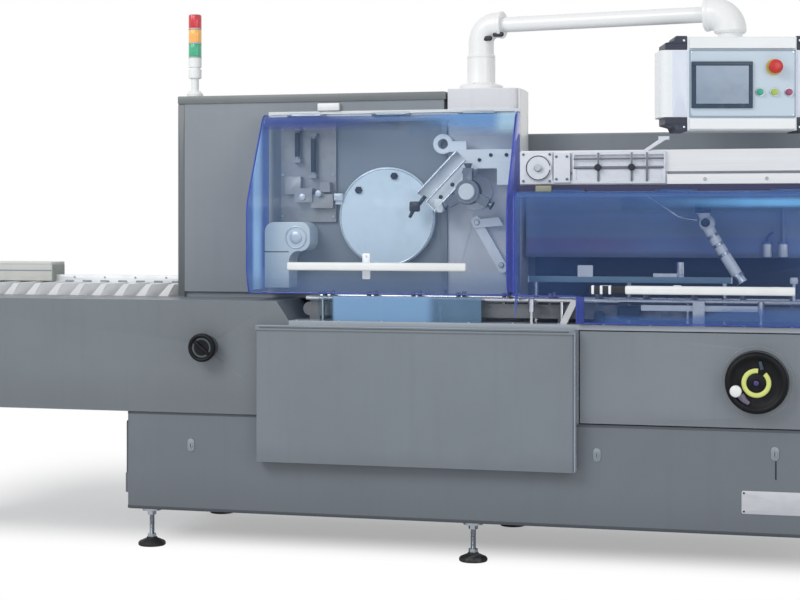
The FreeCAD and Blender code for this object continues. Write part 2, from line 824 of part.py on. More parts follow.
def make_cabinets():
    """Tall rear cabinet with the infeed tunnel, the rear housing and the inner guard sheet."""
    body = new_body("CabinetBody")
    face = [
        ("cabinet_left", "infeed_top + plinth_height"),
        ("infeed_end", "infeed_top + plinth_height"),
        ("infeed_end", "deck_top"),
        ("cabinet_right", "deck_top"),
        ("cabinet_right", "cabinet_top"),
        ("cabinet_left", "cabinet_top"),
    ]
    front = outline(body, "CabinetFace", "XZ_Plane", face, "-cabinet_front")
    main = pad(body, front, "body_depth - cabinet_front", True)
    plinth = [
        ("cabinet_left + plinth_inset", "cabinet_front + plinth_inset"),
        ("infeed_end", "cabinet_front + plinth_inset"),
        ("infeed_end", "body_depth - plinth_inset"),
        ("cabinet_left + plinth_inset", "body_depth - plinth_inset"),
    ]
    pad(body, outline(body, "CabinetPlinth", "XY_Plane", plinth, "infeed_top"), "plinth_height")
    lip = rectangle("cabinet_left - cabinet_lip_reach", "cabinet_front - cabinet_lip_reach",
                    "cabinet_right + cabinet_lip_reach", "body_depth")
    pad(body, outline(body, "CabinetLip", "XY_Plane", lip, "cabinet_top - cabinet_lip"), "cabinet_lip")
    doc.recompute()
    tunnel = [
        ("trough_front - tunnel_margin", "infeed_top - 1"),
        ("trough_front + trough_width + tunnel_margin + guide_foot", "infeed_top - 1"),
        ("trough_front + trough_width + tunnel_margin + guide_foot", "tunnel_top"),
        ("trough_front - tunnel_margin", "tunnel_top"),
    ]
    cut = outline(body, "CabinetTunnel", "YZ_Plane", tunnel, "cabinet_left - 1")
    pocket(body, cut, "infeed_end + trough_drop - cabinet_left", True)
    finish(body, "rear_cabinet")

    housing = block("RearHousing", "cabinet_right", "housing_front", "deck_top",
                    "base_length - cabinet_right",
                    "body_depth - housing_front", "housing_top - deck_top")
    finish(rounded("RearHousingRound", housing, "corner_radius", ALONG_Z,
                   lambda point: point.x > size("base_length") - 1), "rear_housing")

    guard = new_body("InnerGuard")
    profile = [
        ("guard_front", "guard_bottom"),
        ("guard_front + guard_sheet", "guard_bottom"),
        ("guard_front + guard_sheet", "beam_bottom + beam_floor - guard_sheet"),
        ("housing_front", "beam_bottom + beam_floor - guard_sheet"),
        ("housing_front", "beam_bottom + beam_floor"),
        ("guard_front", "beam_bottom + beam_floor"),
    ]
    pad(guard, outline(guard, "GuardProfile", "YZ_Plane", profile, "guard_left"),
        "base_length - guard_left - seam")
    seat = "guard_front - guard_cylinder_radius * 0.8"
    first = "right_hood_start + right_hood_width - guard_cylinder_margin"
    for number, across in enumerate((first, f"{first} + guard_cylinder_spacing")):
        cylinder = circle(guard, f"GuardCylinder{number}", "XY_Plane", across, seat, "guard_cylinder_radius",
                          "guard_cylinder_level")
        pad(guard, cylinder, "guard_cylinder_height")
    rod = circle(guard, "GuardRod", "XY_Plane", f"{first} + guard_cylinder_spacing", seat, "guard_rod_radius",
                 "guard_cylinder_level + guard_cylinder_height - 1")
    pad(guard, rod, "guard_rod_height")
    foot = rectangle(f"{first} + guard_cylinder_spacing - guard_rod_radius",
                     "guard_cylinder_level + guard_cylinder_height",
                     f"{first} + guard_cylinder_spacing + guard_rod_radius",
                     "guard_cylinder_level + guard_cylinder_height + guard_rod_height")
    pad(guard, outline(guard, "GuardRodFoot", "XZ_Plane", foot, f"-({seat})"), "guard_cylinder_radius", True)
    finish(guard, "inner_guard")


def make_pillar():
    """Column that carries the pendant arm, with the flanged bearing of the rotary feeder."""
    body = new_body("PillarBody")
    plan = rectangle("pillar_left", "cabinet_front", "pillar_left + pillar_width",
                     "cabinet_front + pillar_depth")
    main = pad(body, outline(body, "PillarPlan", "XY_Plane", plan, "deck_top"), "pillar_top - deck_top")
    doc.recompute()
    middle = main.Shape.BoundBox.Center.x
    fillet(body, main, "pillar_radius", ALONG_Z, lambda point: point.x > middle)
    flange = circle(body, "BearingFlange", "XZ_Plane", "feeder_across", "feeder_level", "bearing_radius",
                    "-cabinet_front")
    pad(body, flange, "bearing_depth")
    doc.recompute()
    bore = circle(body, "PillarBore", "XZ_Plane", "feeder_across", "feeder_level",
                  "feeder_shaft_radius + running_gap", "-cabinet_front + bearing_depth")
    pocket(body, bore, "bearing_depth + feeder_shaft_seat + 2")
    finish(body, "arm_pillar")


def hinge_places(start, width):
    """Where the three hinges of a hood begin, along X."""
    first = f"{start} + {width} * 0.1"
    last = f"{start} + {width} * 0.9 - hinge_sleeve"
    return (first, f"({first} + {last}) / 2", last)


def hinge_lugs(name, start, width, back, level, wall):
    """The fixed half of each hinge: two lugs that run back to the rail, and the pin between them."""
    pieces = []
    for number, place in enumerate(hinge_places(start, width)):
        for side, across in enumerate((f"{place} - hinge_lug - hinge_side_gap",
                                       f"{place} + hinge_sleeve + hinge_side_gap")):
            pieces.append(bar(f"{name}Knuckle{number}{side}", "x", across, back, level, "hood_hinge_radius",
                              "hinge_lug"))
            pieces.append(block(f"{name}Lug{number}{side}", across, back,
                                f"{level} - hood_hinge_radius * 0.8",
                                "hinge_lug", f"{wall} - ({back})", "hood_hinge_radius * 1.6"))
        pieces.append(bar(f"{name}Pin{number}", "x", f"{place} - hinge_side_gap - 1", back, level,
                          "hood_pin_radius",
                          "hinge_sleeve + 2 * hinge_side_gap + 2"))
    return pieces


def make_hood_rails():
    """Fixed hinge rails of both hoods."""
    start, width = "left_hood_start", "left_hood_width"
    back, level = "(cabinet_front - left_hinge_back)", "(left_hood_top - sheet / 2)"
    rail = block("LeftRail", start, "cabinet_front - 8", f"{level} - 16", width, "8", "32")
    lugs = hinge_lugs("LeftHinge", start, width, back, level, "cabinet_front - 4")
    finish(join("LeftRailPieces", [rail] + lugs), "left_hood_rail")

    start, width = "right_hood_start", "right_hood_width"
    back, level = "(beam_front - right_hinge_back)", "(right_hood_top - sheet / 2)"
    rail = block("RightRail", start, "beam_front - 8", f"{level} - 14", width, "8",
                 f"beam_bottom - ({level} - 14)")
    cap = block("RightRailCap", "beam_left", "beam_front - 8", "beam_bottom - 8",
                f"{start} + {width} - beam_left", "26", "8")
    lugs = hinge_lugs("RightHinge", start, width, back, level, "beam_front - 4")
    finish(join("RightRailPieces", [rail, cap] + lugs), "right_hood_rail")


def make_hood(name, corners, bends, width, notch=None):
    """A bent sheet hood: padded side profile, rounded bends, hollowed, then the hinge sleeves and bore."""
    body = new_body(name)
    main = pad(body, outline(body, name + "Side", "YZ_Plane", corners), width)
    doc.recompute()
    base = main
    for number, (bend, (across, up)) in enumerate(bends):
        feature = body.newObject("PartDesign::Fillet", f"{name}Bend{number}")
        edges = edges_along(base.Shape, ALONG_X,
                            lambda point: abs(point.y - across) < 1 and abs(point.z - up) < 1)
        feature.Base = (base, [f"Edge{edge}" for edge in edges])
        bind(feature, "Radius", bend)
        doc.recompute()
        base = feature
    deepest = base.Shape.BoundBox.YMax
    lowest = base.Shape.BoundBox.ZMin
    faces = [
        f"Face{number}"
        for number, face in enumerate(base.Shape.Faces, start=1)
        if abs(face.CenterOfMass.y - deepest) < 0.01 or abs(face.CenterOfMass.z - lowest) < 0.01
    ]
    shell = body.newObject("PartDesign::Thickness", name + "Shell")
    shell.Base = (base, faces)
    bind(shell, "Value", "sheet")
    shell.Reversed = True
    doc.recompute()
    if notch:
        reach = "right_hood_front + handle_standoff"
        pocket(body, outline(body, name + "Notch", "XZ_Plane", notch, reach), f"{reach} + beam_front")
    doc.recompute()
    return body


def hood_hinges(body, name, width, hinge_back, hinge_level):
    """Clear the sheet's rear edge, add the sleeves with their leaves, and bore them for the pins."""
    reach = "hood_hinge_radius + 4"
    clear = [
        (f"{hinge_back} - ({reach})", f"{hinge_level} - ({reach})"),
        (f"{hinge_back} + ({reach}) + 30", f"{hinge_level} - ({reach})"),
        (f"{hinge_back} + ({reach}) + 30", f"{hinge_level} + ({reach})"),
        (f"{hinge_back} - ({reach})", f"{hinge_level} + ({reach})"),
    ]
    cut = outline(body, name + "Clear", "YZ_Plane", clear, "sheet")
    pocket(body, cut, f"{width} - 2 * sheet", True)
    for number, place in enumerate(hinge_places("0", width)):
        sleeve = circle(body, f"{name}Sleeve{number}", "YZ_Plane", hinge_back, hinge_level,
                        "hood_hinge_radius", place)
        leaf = [
            (f"{hinge_back} - ({reach}) - 6", f"{hinge_level} - sheet / 2"),
            (hinge_back, f"{hinge_level} - sheet / 2"),
            (hinge_back, f"{hinge_level} + sheet / 2"),
            (f"{hinge_back} - ({reach}) - 6", f"{hinge_level} + sheet / 2"),
        ]
        pad(body, outline(body, f"{name}Leaf{number}", "YZ_Plane", leaf, place), "hinge_sleeve")
        pad(body, sleeve, "hinge_sleeve")
    doc.recompute()
    bore = circle(body, name + "Bore", "YZ_Plane", hinge_back, hinge_level,
                  "hood_pin_radius + hinge_clearance", "sheet")
    pocket(body, bore, f"{width} - 2 * sheet", True)


def make_left_hood():
    hinge_back, hinge_level = "(cabinet_front - left_hinge_back)", "(left_hood_top - sheet / 2)"
    corners = [
        ("24", "left_hood_bottom"),
        ("cabinet_front - 8 - hood_back_gap", "left_hood_bottom"),
        ("cabinet_front - 8 - hood_back_gap", "left_hood_top"),
        ("left_hood_lean", "left_hood_top"),
        ("0", "left_hood_bend"),
        ("0", "left_hood_bottom + 58"),
    ]
    bends = [
        ("70", (size("left_hood_lean"), size("left_hood_top"))),
        ("160", (0, size("left_hood_bend"))),
        ("50", (0, size("left_hood_bottom") + 58)),
    ]
    body = make_hood("LeftHood", corners, bends, "left_hood_width")
    hood_hinges(body, "LeftHood", "left_hood_width", hinge_back, hinge_level)
    finish(body, "left_hood", x="left_hood_start")
    handle("Left", "left_handle_start", "left_handle_length", "left_handle_level", "0", "left_hood_handle")


def make_right_hood():
    hinge_back, hinge_level = "(beam_front - right_hinge_back)", "(right_hood_top - sheet / 2)"
    corners = [
        ("-right_hood_front", "right_hood_bottom"),
        ("beam_front - 8 - hood_back_gap", "right_hood_bottom"),
        ("beam_front - 8 - hood_back_gap", "right_hood_top"),
        ("-right_hood_front", "right_hood_top"),
    ]
    bends = [("44", (-size("right_hood_front"), size("right_hood_top")))]
    notch = [
        ("-10", "right_hood_bottom - 10"),
        ("notch_width", "right_hood_bottom - 10"),
        ("notch_width", "notch_top"),
        ("-10", "notch_top"),
    ]
    body = make_hood("RightHood", corners, bends, "right_hood_width", notch)
    hood_hinges(body, "RightHood", "right_hood_width", hinge_back, hinge_level)
    finish(body, "right_hood", x="right_hood_start")
    handle("Right", "right_handle_start", "right_handle_length", "right_handle_level", "-right_hood_front",
           "right_hood_handle")


def handle(name, start, length, level, face, label):
    """A grip bar across a hood, held off the sheet by upright brackets."""
    outer = f"{face} - handle_standoff - handle_depth"
    grip = block(f"{name}GripBar", start, outer, f"{level} - handle_height / 2", length, "handle_depth",
                 "handle_height")
    pieces = [rounded(f"{name}Grip", grip, "seam", ALONG_X)]
    for number, share in enumerate((0.04, 0.4, 0.88)):
        across = f"{start} + {length} * {share}"
        tall = "handle_plate_height" if number == 1 else "handle_height * 2.6"
        pieces.append(block(f"{name}Bracket{number}", across, f"{face} - handle_standoff - 2",
                            f"{level} - handle_height * 0.4", "handle_bracket", "handle_standoff + 2",
                            "handle_height * 0.8"))
        pieces.append(block(f"{name}Foot{number}", across, f"{face} - sheet", f"{level} - ({tall}) / 2",
                            "handle_bracket", "sheet", tall))
    finish(join(f"{name}HandlePieces", pieces), label)


def make_magazine():
    """Carton magazine: channel beam, skids and front strip, adjustable carriage and inclined chute."""
    body = new_body("BeamBody")
    back = "beam_front + beam_depth"
    floor = "beam_bottom + 2 * beam_floor"
    profile = [
        ("beam_front", "beam_bottom"),
        ("beam_front + beam_wall", "beam_bottom"),
        ("beam_front + beam_wall", "beam_bottom + beam_floor"),
        ("housing_front - beam_shelf_reach", "beam_bottom + beam_floor"),
        ("housing_front - beam_shelf_reach", floor),
        (back, floor),
        (back, "beam_top"),
        (f"{back} - beam_wall", "beam_top"),
        (f"{back} - beam_wall", floor),
        ("beam_front + beam_wall", floor),
        ("beam_front + beam_wall", "beam_top"),
        ("beam_front", "beam_top"),
        ("beam_front", "beam_groove_level + beam_groove"),
        ("beam_front + beam_groove_depth", "beam_groove_level + beam_groove"),
        ("beam_front + beam_groove_depth", "beam_groove_level"),
        ("beam_front", "beam_groove_level"),
    ]
    pad(body, outline(body, "BeamProfile", "YZ_Plane", profile, "beam_left"), "base_length - beam_left")
    finish(body, "magazine_beam")

    strip = block("FrontStrip", "carriage_end + seam", "beam_front - strip_depth", "beam_bottom + seam / 2",
                  "base_length - carriage_end - seam", "strip_depth",
                  "beam_groove_level - beam_bottom - seam / 2")
    skids = [strip]
    for number in range(2):
        skids.append(block(f"Skid{number}", "beam_left",
                           f"beam_front + skid_setback + skid_spacing * {number}", floor,
                           "base_length - beam_left", "skid_width", "skid_width"))
    finish(group("SkidPieces", skids), "magazine_rails")
    make_carriage()
    make_chute()


def make_carriage():
    """Adjustable carriage on the beam's front: end block with a boss, clamp block, frame and brace."""
    carriage = new_body("CarriageBody")
    low, high = "beam_bottom + seam", "beam_top - seam"
    face = "-beam_front"
    sill = rectangle("beam_left", low, "carriage_end", f"{low} + carriage_post")
    pad(carriage, outline(carriage, "CarriageSill", "XZ_Plane", sill, face), "carriage_depth")
    ends = rectangle("beam_left", low, "beam_left + carriage_block", high)
    pad(carriage, outline(carriage, "CarriageEnd", "XZ_Plane", ends, face), "carriage_depth")
    boss = circle(carriage, "CarriageBoss", "XZ_Plane",
                  "beam_left + carriage_block - carriage_boss_radius - seam",
                  f"({low} + {high}) / 2", "carriage_boss_radius", f"{face} + carriage_depth")
    pad(carriage, boss, "carriage_boss_depth")
    clamp_left = "beam_left + carriage_block + seam"
    clamp = rectangle(clamp_left, f"{low} + seam", f"{clamp_left} + carriage_block / 2", f"{high} - seam")
    pad(carriage, outline(carriage, "CarriageClamp", "XZ_Plane", clamp, face),
        "carriage_depth + carriage_boss_depth")
    frame_left = "beam_left + carriage_block * 1.6"
    span = f"(carriage_end - ({frame_left}))"
    frame = rectangle(frame_left, low, "carriage_end", high)
    pad(carriage, outline(carriage, "CarriageFrame", "XZ_Plane", frame, face), "carriage_depth")
    doc.recompute()
    for number, (start, stop) in enumerate(((0, 0.28), (0.28, 0.64), (0.64, 0.8), (0.8, 1))):
        window = rectangle(f"{frame_left} + {span} * {start} + carriage_post / 2",
                           f"({low} + {high}) / 2 + carriage_post / 2",
                           f"{frame_left} + {span} * {stop} - carriage_post / 2", f"{high} - carriage_post")
        cut = outline(carriage, f"CarriageWindow{number}", "XZ_Plane", window, f"{face} + carriage_depth")
        pocket(carriage, cut, "carriage_depth * 0.8")
    shelf = rectangle(f"{frame_left} + carriage_post", f"{low} + carriage_post",
                      "carriage_end - carriage_post",
                      f"({low} + {high}) / 2 - carriage_post / 2")
    pocket(carriage, outline(carriage, "CarriageShelf", "XZ_Plane", shelf, f"{face} + carriage_depth"),
           "carriage_depth / 4")
    brace = [
        ("carriage_end - carriage_rise * 2", f"{high} - carriage_post"),
        ("carriage_end - carriage_rise * 1.6", f"{high} - carriage_post"),
        ("carriage_end", f"{high} + carriage_rise - carriage_post"),
        ("carriage_end + carriage_post", f"{high} + carriage_rise - carriage_post"),
        ("carriage_end + carriage_post", f"{high} + carriage_rise"),
        ("carriage_end - carriage_rise / 2", f"{high} + carriage_rise"),
        ("carriage_end - carriage_rise / 2", f"{high} + carriage_rise - carriage_post"),
    ]
    pad(carriage, outline(carriage, "CarriageBrace", "XZ_Plane", brace, face), "carriage_depth * 0.7")
    finish(carriage, "magazine_carriage")


def make_chute():
    """Inclined chute from the magazine's level down to the disc, with a clamp ring, held by the pillar."""
    chute = new_body("ChuteBody")
    climb = "(chute_top - chute_width * cos(chute_tilt)) / tan(chute_tilt)"
    face = [
        ("0", "0"),
        ("chute_run * cos(chute_tilt)", "chute_run * sin(chute_tilt)"),
        ("chute_head - chute_foot", "chute_run * sin(chute_tilt)"),
        ("chute_head - chute_foot", "chute_drop"),
        ("chute_head", "chute_drop"),
        ("chute_head", "chute_top"),
        (f"{climb} - chute_width * sin(chute_tilt)", "chute_top"),
        ("-chute_width * sin(chute_tilt)", "chute_width * cos(chute_tilt)"),
    ]
    pad(chute, outline(chute, "ChuteFace", "XZ_Plane", face), "chute_depth", True)
    doc.recompute()
    inner = []
    for along, over in (
        ("chute_wall", "chute_wall"),
        ("chute_run - chute_wall", "chute_wall"),
        ("chute_run - chute_wall", "chute_width - chute_wall"),
        ("chute_wall", "chute_width - chute_wall"),
    ):
        inner.append((
            f"({along}) * cos(chute_tilt) - ({over}) * sin(chute_tilt)",
            f"({along}) * sin(chute_tilt) + ({over}) * cos(chute_tilt)",
        ))
    pocket(chute, outline(chute, "ChuteRecess", "XZ_Plane", inner), "chute_recess")
    reach = "cabinet_front - chute_front - chute_depth"
    bracket = rectangle("chute_head / 2", "chute_top - chute_foot", "chute_head - chute_foot",
                        "chute_top - chute_wall")
    pad(chute, outline(chute, "ChuteBracket", "XZ_Plane", bracket, "-chute_depth + 1"), f"{reach} + 1", True)
    ring_across, ring_up = "chute_offset - chute_wall", "chute_top + ring_bore + seam"
    ring = circle(chute, "ClampRing", "XZ_Plane", ring_across, ring_up, "ring_radius",
                  f"-({reach} + chute_depth - ring_depth)")
    pad(chute, ring, "ring_depth", True)
    tab = rectangle(ring_across, "chute_top - chute_wall", f"{ring_across} + ring_radius * 2.4",
                    f"{ring_up} + ring_bore / 2")
    pad(chute, outline(chute, "ClampTab", "XZ_Plane", tab, f"-({reach} + chute_depth - ring_depth)"),
        "ring_depth / 2", True)
    doc.recompute()
    hole = circle(chute, "ClampHole", "XZ_Plane", ring_across, ring_up, "ring_bore",
                  f"-({reach} + chute_depth - ring_depth)")
    pocket(chute, hole, "ring_depth")
    finish(chute, "magazine_chute", x="pillar_left - chute_offset", y="chute_front", z="chute_level")


def make_feeder():
    """The cam disc, the rotary carton feeder, the guide arm, the slide unit and the drive housing."""
    disc = turned("DiscBody", [
        ("0", "0"),
        ("disc_radius - 2", "0"),
        ("disc_radius", "2"),
        ("disc_radius", "disc_thickness"),
        ("disc_boss_radius", "disc_thickness"),
        ("disc_boss_radius", "cabinet_front - disc_front"),
        ("0", "cabinet_front - disc_front"),
    ])
    tab = rectangle("-disc_radius - disc_tab / 2", "-disc_radius * 0.42", "-disc_radius * 0.7",
                    "-disc_radius * 0.42 + disc_tab")
    pad(disc, outline(disc, "DiscTab", "XY_Plane", tab), "disc_thickness / 2")
    disc.Placement = Placement(Vector(), TURN_TO["y"])
    finish(disc, "feeder_disc", x="disc_across", y="disc_front", z="disc_level")

    hub = bar("FeederHub", "y", "0", "0", "0", "feeder_hub_radius", "feeder_thickness")
    shaft = bar("FeederShaft", "y", "0", "feeder_thickness - 1", "0", "feeder_shaft_radius",
                "cabinet_front - feeder_front - feeder_thickness + feeder_shaft_seat + 1")
    pieces = [hub, shaft]
    arm_height = "feeder_hub_radius * 0.76"
    cup_height = "feeder_cup"
    for number in range(3):
        turn = 120 * number + 30
        arm = block(f"FeederArm{number}", "0", "0", "0", "feeder_reach - feeder_cup",
                    "feeder_thickness - feeder_cup", arm_height)
        arm.Placement = Placement(Vector(), Rotation(Vector(0, 1, 0), turn))
        move(arm, f"-{arm_height} / 2 * sin({turn})", "feeder_cup / 2", f"-{arm_height} / 2 * cos({turn})")
        cup = doc.addObject("Part::Cone", f"FeederCup{number}")
        bind(cup, "Radius1", "feeder_cup * 0.56")
        bind(cup, "Radius2", "feeder_cup * 0.94")
        bind(cup, "Height", cup_height)
        cup.Placement = Placement(Vector(), Rotation(Vector(0, 1, 0), turn + 90))
        move(cup, f"(feeder_reach - feeder_cup) * cos({turn})", "feeder_thickness / 2",
             f"-(feeder_reach - feeder_cup) * sin({turn})")
        pieces += [arm, cup]
    finish(join("FeederPieces", pieces), "rotary_feeder", x="feeder_across", y="feeder_front",
           z="feeder_level")

    guide = new_body("GuideArm")
    face = rectangle("-guide_arm_width / 2", "0", "guide_arm_width / 2", "guide_arm_length")
    main = pad(guide, outline(guide, "GuideArmFace", "XZ_Plane", face), "guide_arm_thickness", True)
    fillet(guide, main, "corner_radius * 0.7", ALONG_Y)
    fork = [
        ("-guide_arm_width / 2", "guide_arm_length - guide_arm_width"),
        ("guide_fork * cos(guide_arm_tilt)",
         "guide_arm_length - guide_arm_width - guide_fork * sin(guide_arm_tilt)"),
        ("guide_fork * cos(guide_arm_tilt)", "guide_arm_length - guide_fork * sin(guide_arm_tilt)"),
        ("-guide_arm_width / 2 + seam", "guide_arm_length - seam"),
    ]
    pad(guide, outline(guide, "GuideFork", "XZ_Plane", fork, "guide_arm_thickness / 2"),
        "guide_arm_thickness", True)
    guide.Placement = Placement(Vector(), Rotation(Vector(0, 1, 0), -size("guide_arm_tilt")))
    finish(guide, "guide_arm", x="pillar_left + guide_arm_offset", y="cabinet_front - guide_arm_thickness",
           z="guide_arm_level")


def make_slide_unit():
    """Slide unit on the cabinet's face: back plate, two guide rods in end blocks, small carriers."""
    left = "slide_left"
    plate = block("SlidePlate", left, "cabinet_front - slide_plate", "slide_level", "slide_width",
                  "slide_plate", "slide_height")
    pieces = [plate]
    rods = (
        (f"{left} + slide_width * 0.33", "slide_level + slide_height * 0.6", "slide_height * 0.36"),
        (f"{left} + slide_width * 0.62", "slide_level + slide_height * 0.44", "slide_height * 0.46"),
    )
    depth = "cabinet_front - slide_rod_front + slide_rod_radius"
    for number, (across, low, tall) in enumerate(rods):
        pieces.append(bar(f"SlideRod{number}", "z", across, "slide_rod_front", low, "slide_rod_radius", tall))
        for end, level in enumerate((low, f"{low} + {tall} - slide_block / 2")):
            pieces.append(block(f"SlideBlock{number}{end}", f"{across} - slide_block / 2",
                                "slide_rod_front - slide_rod_radius - 4",
                                level, "slide_block", f"{depth} + 4 - slide_plate / 2", "slide_block / 2"))
    carriers = ((0.12, 0.40, 0.28, 0.46), (0.30, 0.62, 0.20, 0.34), (0.58, 0.98, 0.14, 0.28),
                (0.76, 0.94, 0.30, 0.40))
    for number, (start, stop, low, high) in enumerate(carriers):
        front = f"slide_rod_front - slide_block * {0.3 + 0.3 * (number % 2)}"
        pieces.append(block(f"SlideCarrier{number}", f"{left} + slide_width * {start}", front,
                            f"slide_level + slide_height * {low}", f"slide_width * {stop - start}",
                            f"cabinet_front - slide_plate / 2 - ({front})", f"slide_height * {high - low}"))
    finish(join("SlidePieces", pieces), "slide_unit")


def make_drive_housing():
    """Pale elbow-shaped housing of the feeder's drive, low on the cabinet's face."""
    body = new_body("DriveBody")
    face = [
        ("0", "0"),
        ("drive_width", "0"),
        ("drive_width", "drive_height - drive_head"),
        ("drive_reach", "drive_height - drive_head"),
        ("drive_reach", "drive_height"),
        ("0", "drive_height"),
    ]
    main = pad(body, outline(body, "DriveFace", "XZ_Plane", face), "drive_depth", True)
    fillet(body, main, "slide_width * 22 / 130", ALONG_Y, lambda point: point.z > 1)
    finish(body, "drive_housing", x="left_hood_start + drive_margin", y="cabinet_front - drive_depth",
           z="drive_level")


def make_carton_line():
    """Carton conveyor under the hoods: twin lug chains and the side rails on posts."""
    finish(shaped("CartonChain", lug_chains()), "carton_chain")

    rails = []
    for number in range(2):
        depth = f"carton_rail_front + carton_rail_spacing * {number}"
        pieces = [bar(f"CartonRail{number}", "x", "carton_chain_start", depth, "carton_rail_level",
                      "carton_rail_radius",
                      "carton_chain_end - carton_chain_start")]
        for place in range(5):
            across = f"carton_chain_start + 60 + (carton_chain_end - carton_chain_start - 120) * {place} / 4"
            pieces.append(bar(f"CartonPost{number}{place}", "z", across, depth, "deck_top",
                              "carton_post_radius",
                              "carton_rail_level - deck_top"))
        rails.append(join(f"CartonRailPieces{number}", pieces))
    finish(group("CartonRails", rails), "carton_rails")


def lug_chains():
    """Two endless bands on a bed, with upright lugs at an even pitch."""
    left = size("infeed_end") + size("carton_chain_gap")
    right = size("base_length") - size("carton_end_gap")
    radius = size("carton_wheel")
    level = size("carton_chain_top") - radius
    band = size("carton_band")
    lug_width, foot_width = band * 0.4, band * 1.5
    pitch = size("carton_lug_pitch")
    rail_front = size("carton_rail_front")
    rail_spacing = size("cabinet_front") - size("carton_rail_gap") - rail_front
    bands = []
    for number in range(2):
        front = rail_front + size("carton_band_gap") + number * (rail_spacing - size("carton_band_inset"))
        loop = stadium(left, right, front, level, radius, band)
        lugs = [
            Part.makeBox(lug_width, band, size("carton_lug_height") + 1,
                         Vector(left + pitch * (i + 0.3), front, level + radius - 1))
            for i in range(int((right - left) / pitch))
        ]
        bed_height = level - radius - size("deck_top")
        feet = [
            Part.makeBox(foot_width, band, bed_height + 1,
                         Vector(left + (right - left - foot_width) * i / 4, front, size("deck_top")))
            for i in range(5)
        ]
        bands.append(loop.fuse(lugs + feet).removeSplitter())
    return Part.makeCompound(bands)


def make_product_rail():
    """Guide rail behind the right hood with its stops and knob, and the stands on the deck's front."""
    start = "(right_hood_start + product_rail_margin)"
    middle = "product_rail_front + product_rail_width / 2"
    rail = [block("ProductRail", start, "product_rail_front", "product_rail_level", "product_rail_length",
                  "product_rail_width", "product_rail_height")]
    for number, share in enumerate((0.04, 0.5, 0.96)):
        rail.append(bar(f"RailPost{number}", "z", f"{start} + product_rail_length * {share}", middle,
                        "deck_top",
                        "rail_post_radius", "product_rail_level + 1 - deck_top"))
    rail.append(bar("RailKnob", "z", f"{start} + product_rail_length * 0.75", middle,
                    "product_rail_level + product_rail_height - 1", "knob_radius", "knob_height"))
    rail.append(block("RailStop", f"{start} + product_rail_length * 0.25", "product_rail_front - seam",
                      "product_rail_level + product_rail_height - 1", "knob_radius * 4",
                      "product_rail_width + 2 * seam",
                      "knob_radius * 3"))
    rail.append(block("RailLedge", f"{start} + product_rail_length * 0.62", "product_rail_front",
                      "product_rail_level + product_rail_height - 1", "knob_radius * 6", "product_rail_width",
                      "knob_radius"))
    solids = [join("ProductRailPieces", rail)]
    stub = "stub_front + stub_depth / 2"
    for number, offset in enumerate(("stub_first", "stub_last")):
        across = f"right_hood_start + {offset}"
        stud = bar(f"StubStud{number}", "z", across, stub, "deck_top", "stub_depth / 4", "stub_height - 1")
        head = bar(f"StubHead{number}", "z", across, stub, "deck_top + stub_height / 2", "stub_depth / 2 - 1",
                   "stub_height / 2")
        solids.append(join(f"Stub{number}", [stud, head]))
    solids.append(block("StubPlate", "right_hood_start + stub_plate_across", "stub_front", "deck_top",
                        "stub_depth * 1.6", "stub_depth",
                        "stub_height"))
    wedge = new_body("StubWedge")
    face = [
        ("0", "0"),
        ("stub_depth", "0"),
        ("stub_depth + stub_wedge_lean", "stub_height"),
        ("stub_wedge_lean", "stub_height"),
    ]
    pad(wedge, outline(wedge, "StubWedgeFace", "XZ_Plane", face), "stub_depth", True)
    move(wedge, "right_hood_start + stub_wedge_across", "stub_front", "deck_top")
    solids.append(wedge)
    finish(group("RailFittings", solids), "product_rail")

    low = block("LowGuard", "0", "0", "0", "hood_join - low_guard_margin - low_guard_start", "sheet",
                "low_guard_height")
    finish(low, "low_guard", x="low_guard_start", y="low_guard_front", z="deck_top")


def make_nozzle():
    """Air nozzle on a bent tube, held by the inner guard sheet."""
    drop, reach = size("nozzle_drop"), size("nozzle_reach")
    path = [
        Vector(0, 0, 0),
        Vector(reach * 0.15, 0, -drop * 0.25),
        Vector(reach * 0.65, 0, -drop * 0.69),
        Vector(reach, 0, -drop),
    ]
    cap_radius, ball_radius = size("nozzle_cap_radius"), size("nozzle_ball_radius")
    tube = smooth_tube(path, size("nozzle_radius"))
    cap = Part.makeCylinder(cap_radius, cap_radius * 1.25, Vector(0, 0, -cap_radius / 3), ALONG_Z)
    ball = Part.makeSphere(ball_radius, Vector(reach * 0.11, 0, -drop / 6))
    stem = Part.makeCylinder(size("nozzle_stem_radius"), size("guard_front") - size("nozzle_front"),
                             Vector(0, 0, size("nozzle_stem_radius") / 2), ALONG_Y)
    nozzle = shaped("NozzleArm", tube.fuse([cap, ball, stem]).removeSplitter())
    finish(nozzle, "nozzle_arm", x="right_hood_start + nozzle_offset", y="nozzle_front", z="nozzle_level")


def smooth_tube(points, radius):
    """A round tube along straight runs joined by tangent arcs."""
    edges = []
    start = points[0]
    for before, corner, after in zip(points, points[1:], points[2:]):
        into, out = (corner - before).normalize(), (after - corner).normalize()
        bend = 0.42 * min((corner - before).Length, (after - corner).Length)
        first, last = corner - into * bend, corner + out * bend
        middle_direction = (out - into).normalize()
        half = into.getAngle(out) / 2
        radius_of_arc = bend / math.tan(half)
        middle = corner + middle_direction * (radius_of_arc / math.cos(half) - radius_of_arc)
        edges.append(Part.LineSegment(start, first).toShape())
        edges.append(Part.Arc(first, middle, last).toShape())
        start = last
    edges.append(Part.LineSegment(start, points[-1]).toShape())
    path = Part.Wire(edges)
    section = Part.Wire(Part.makeCircle(radius, points[0], points[1] - points[0]))
    return path.makePipeShell([section], True, False)


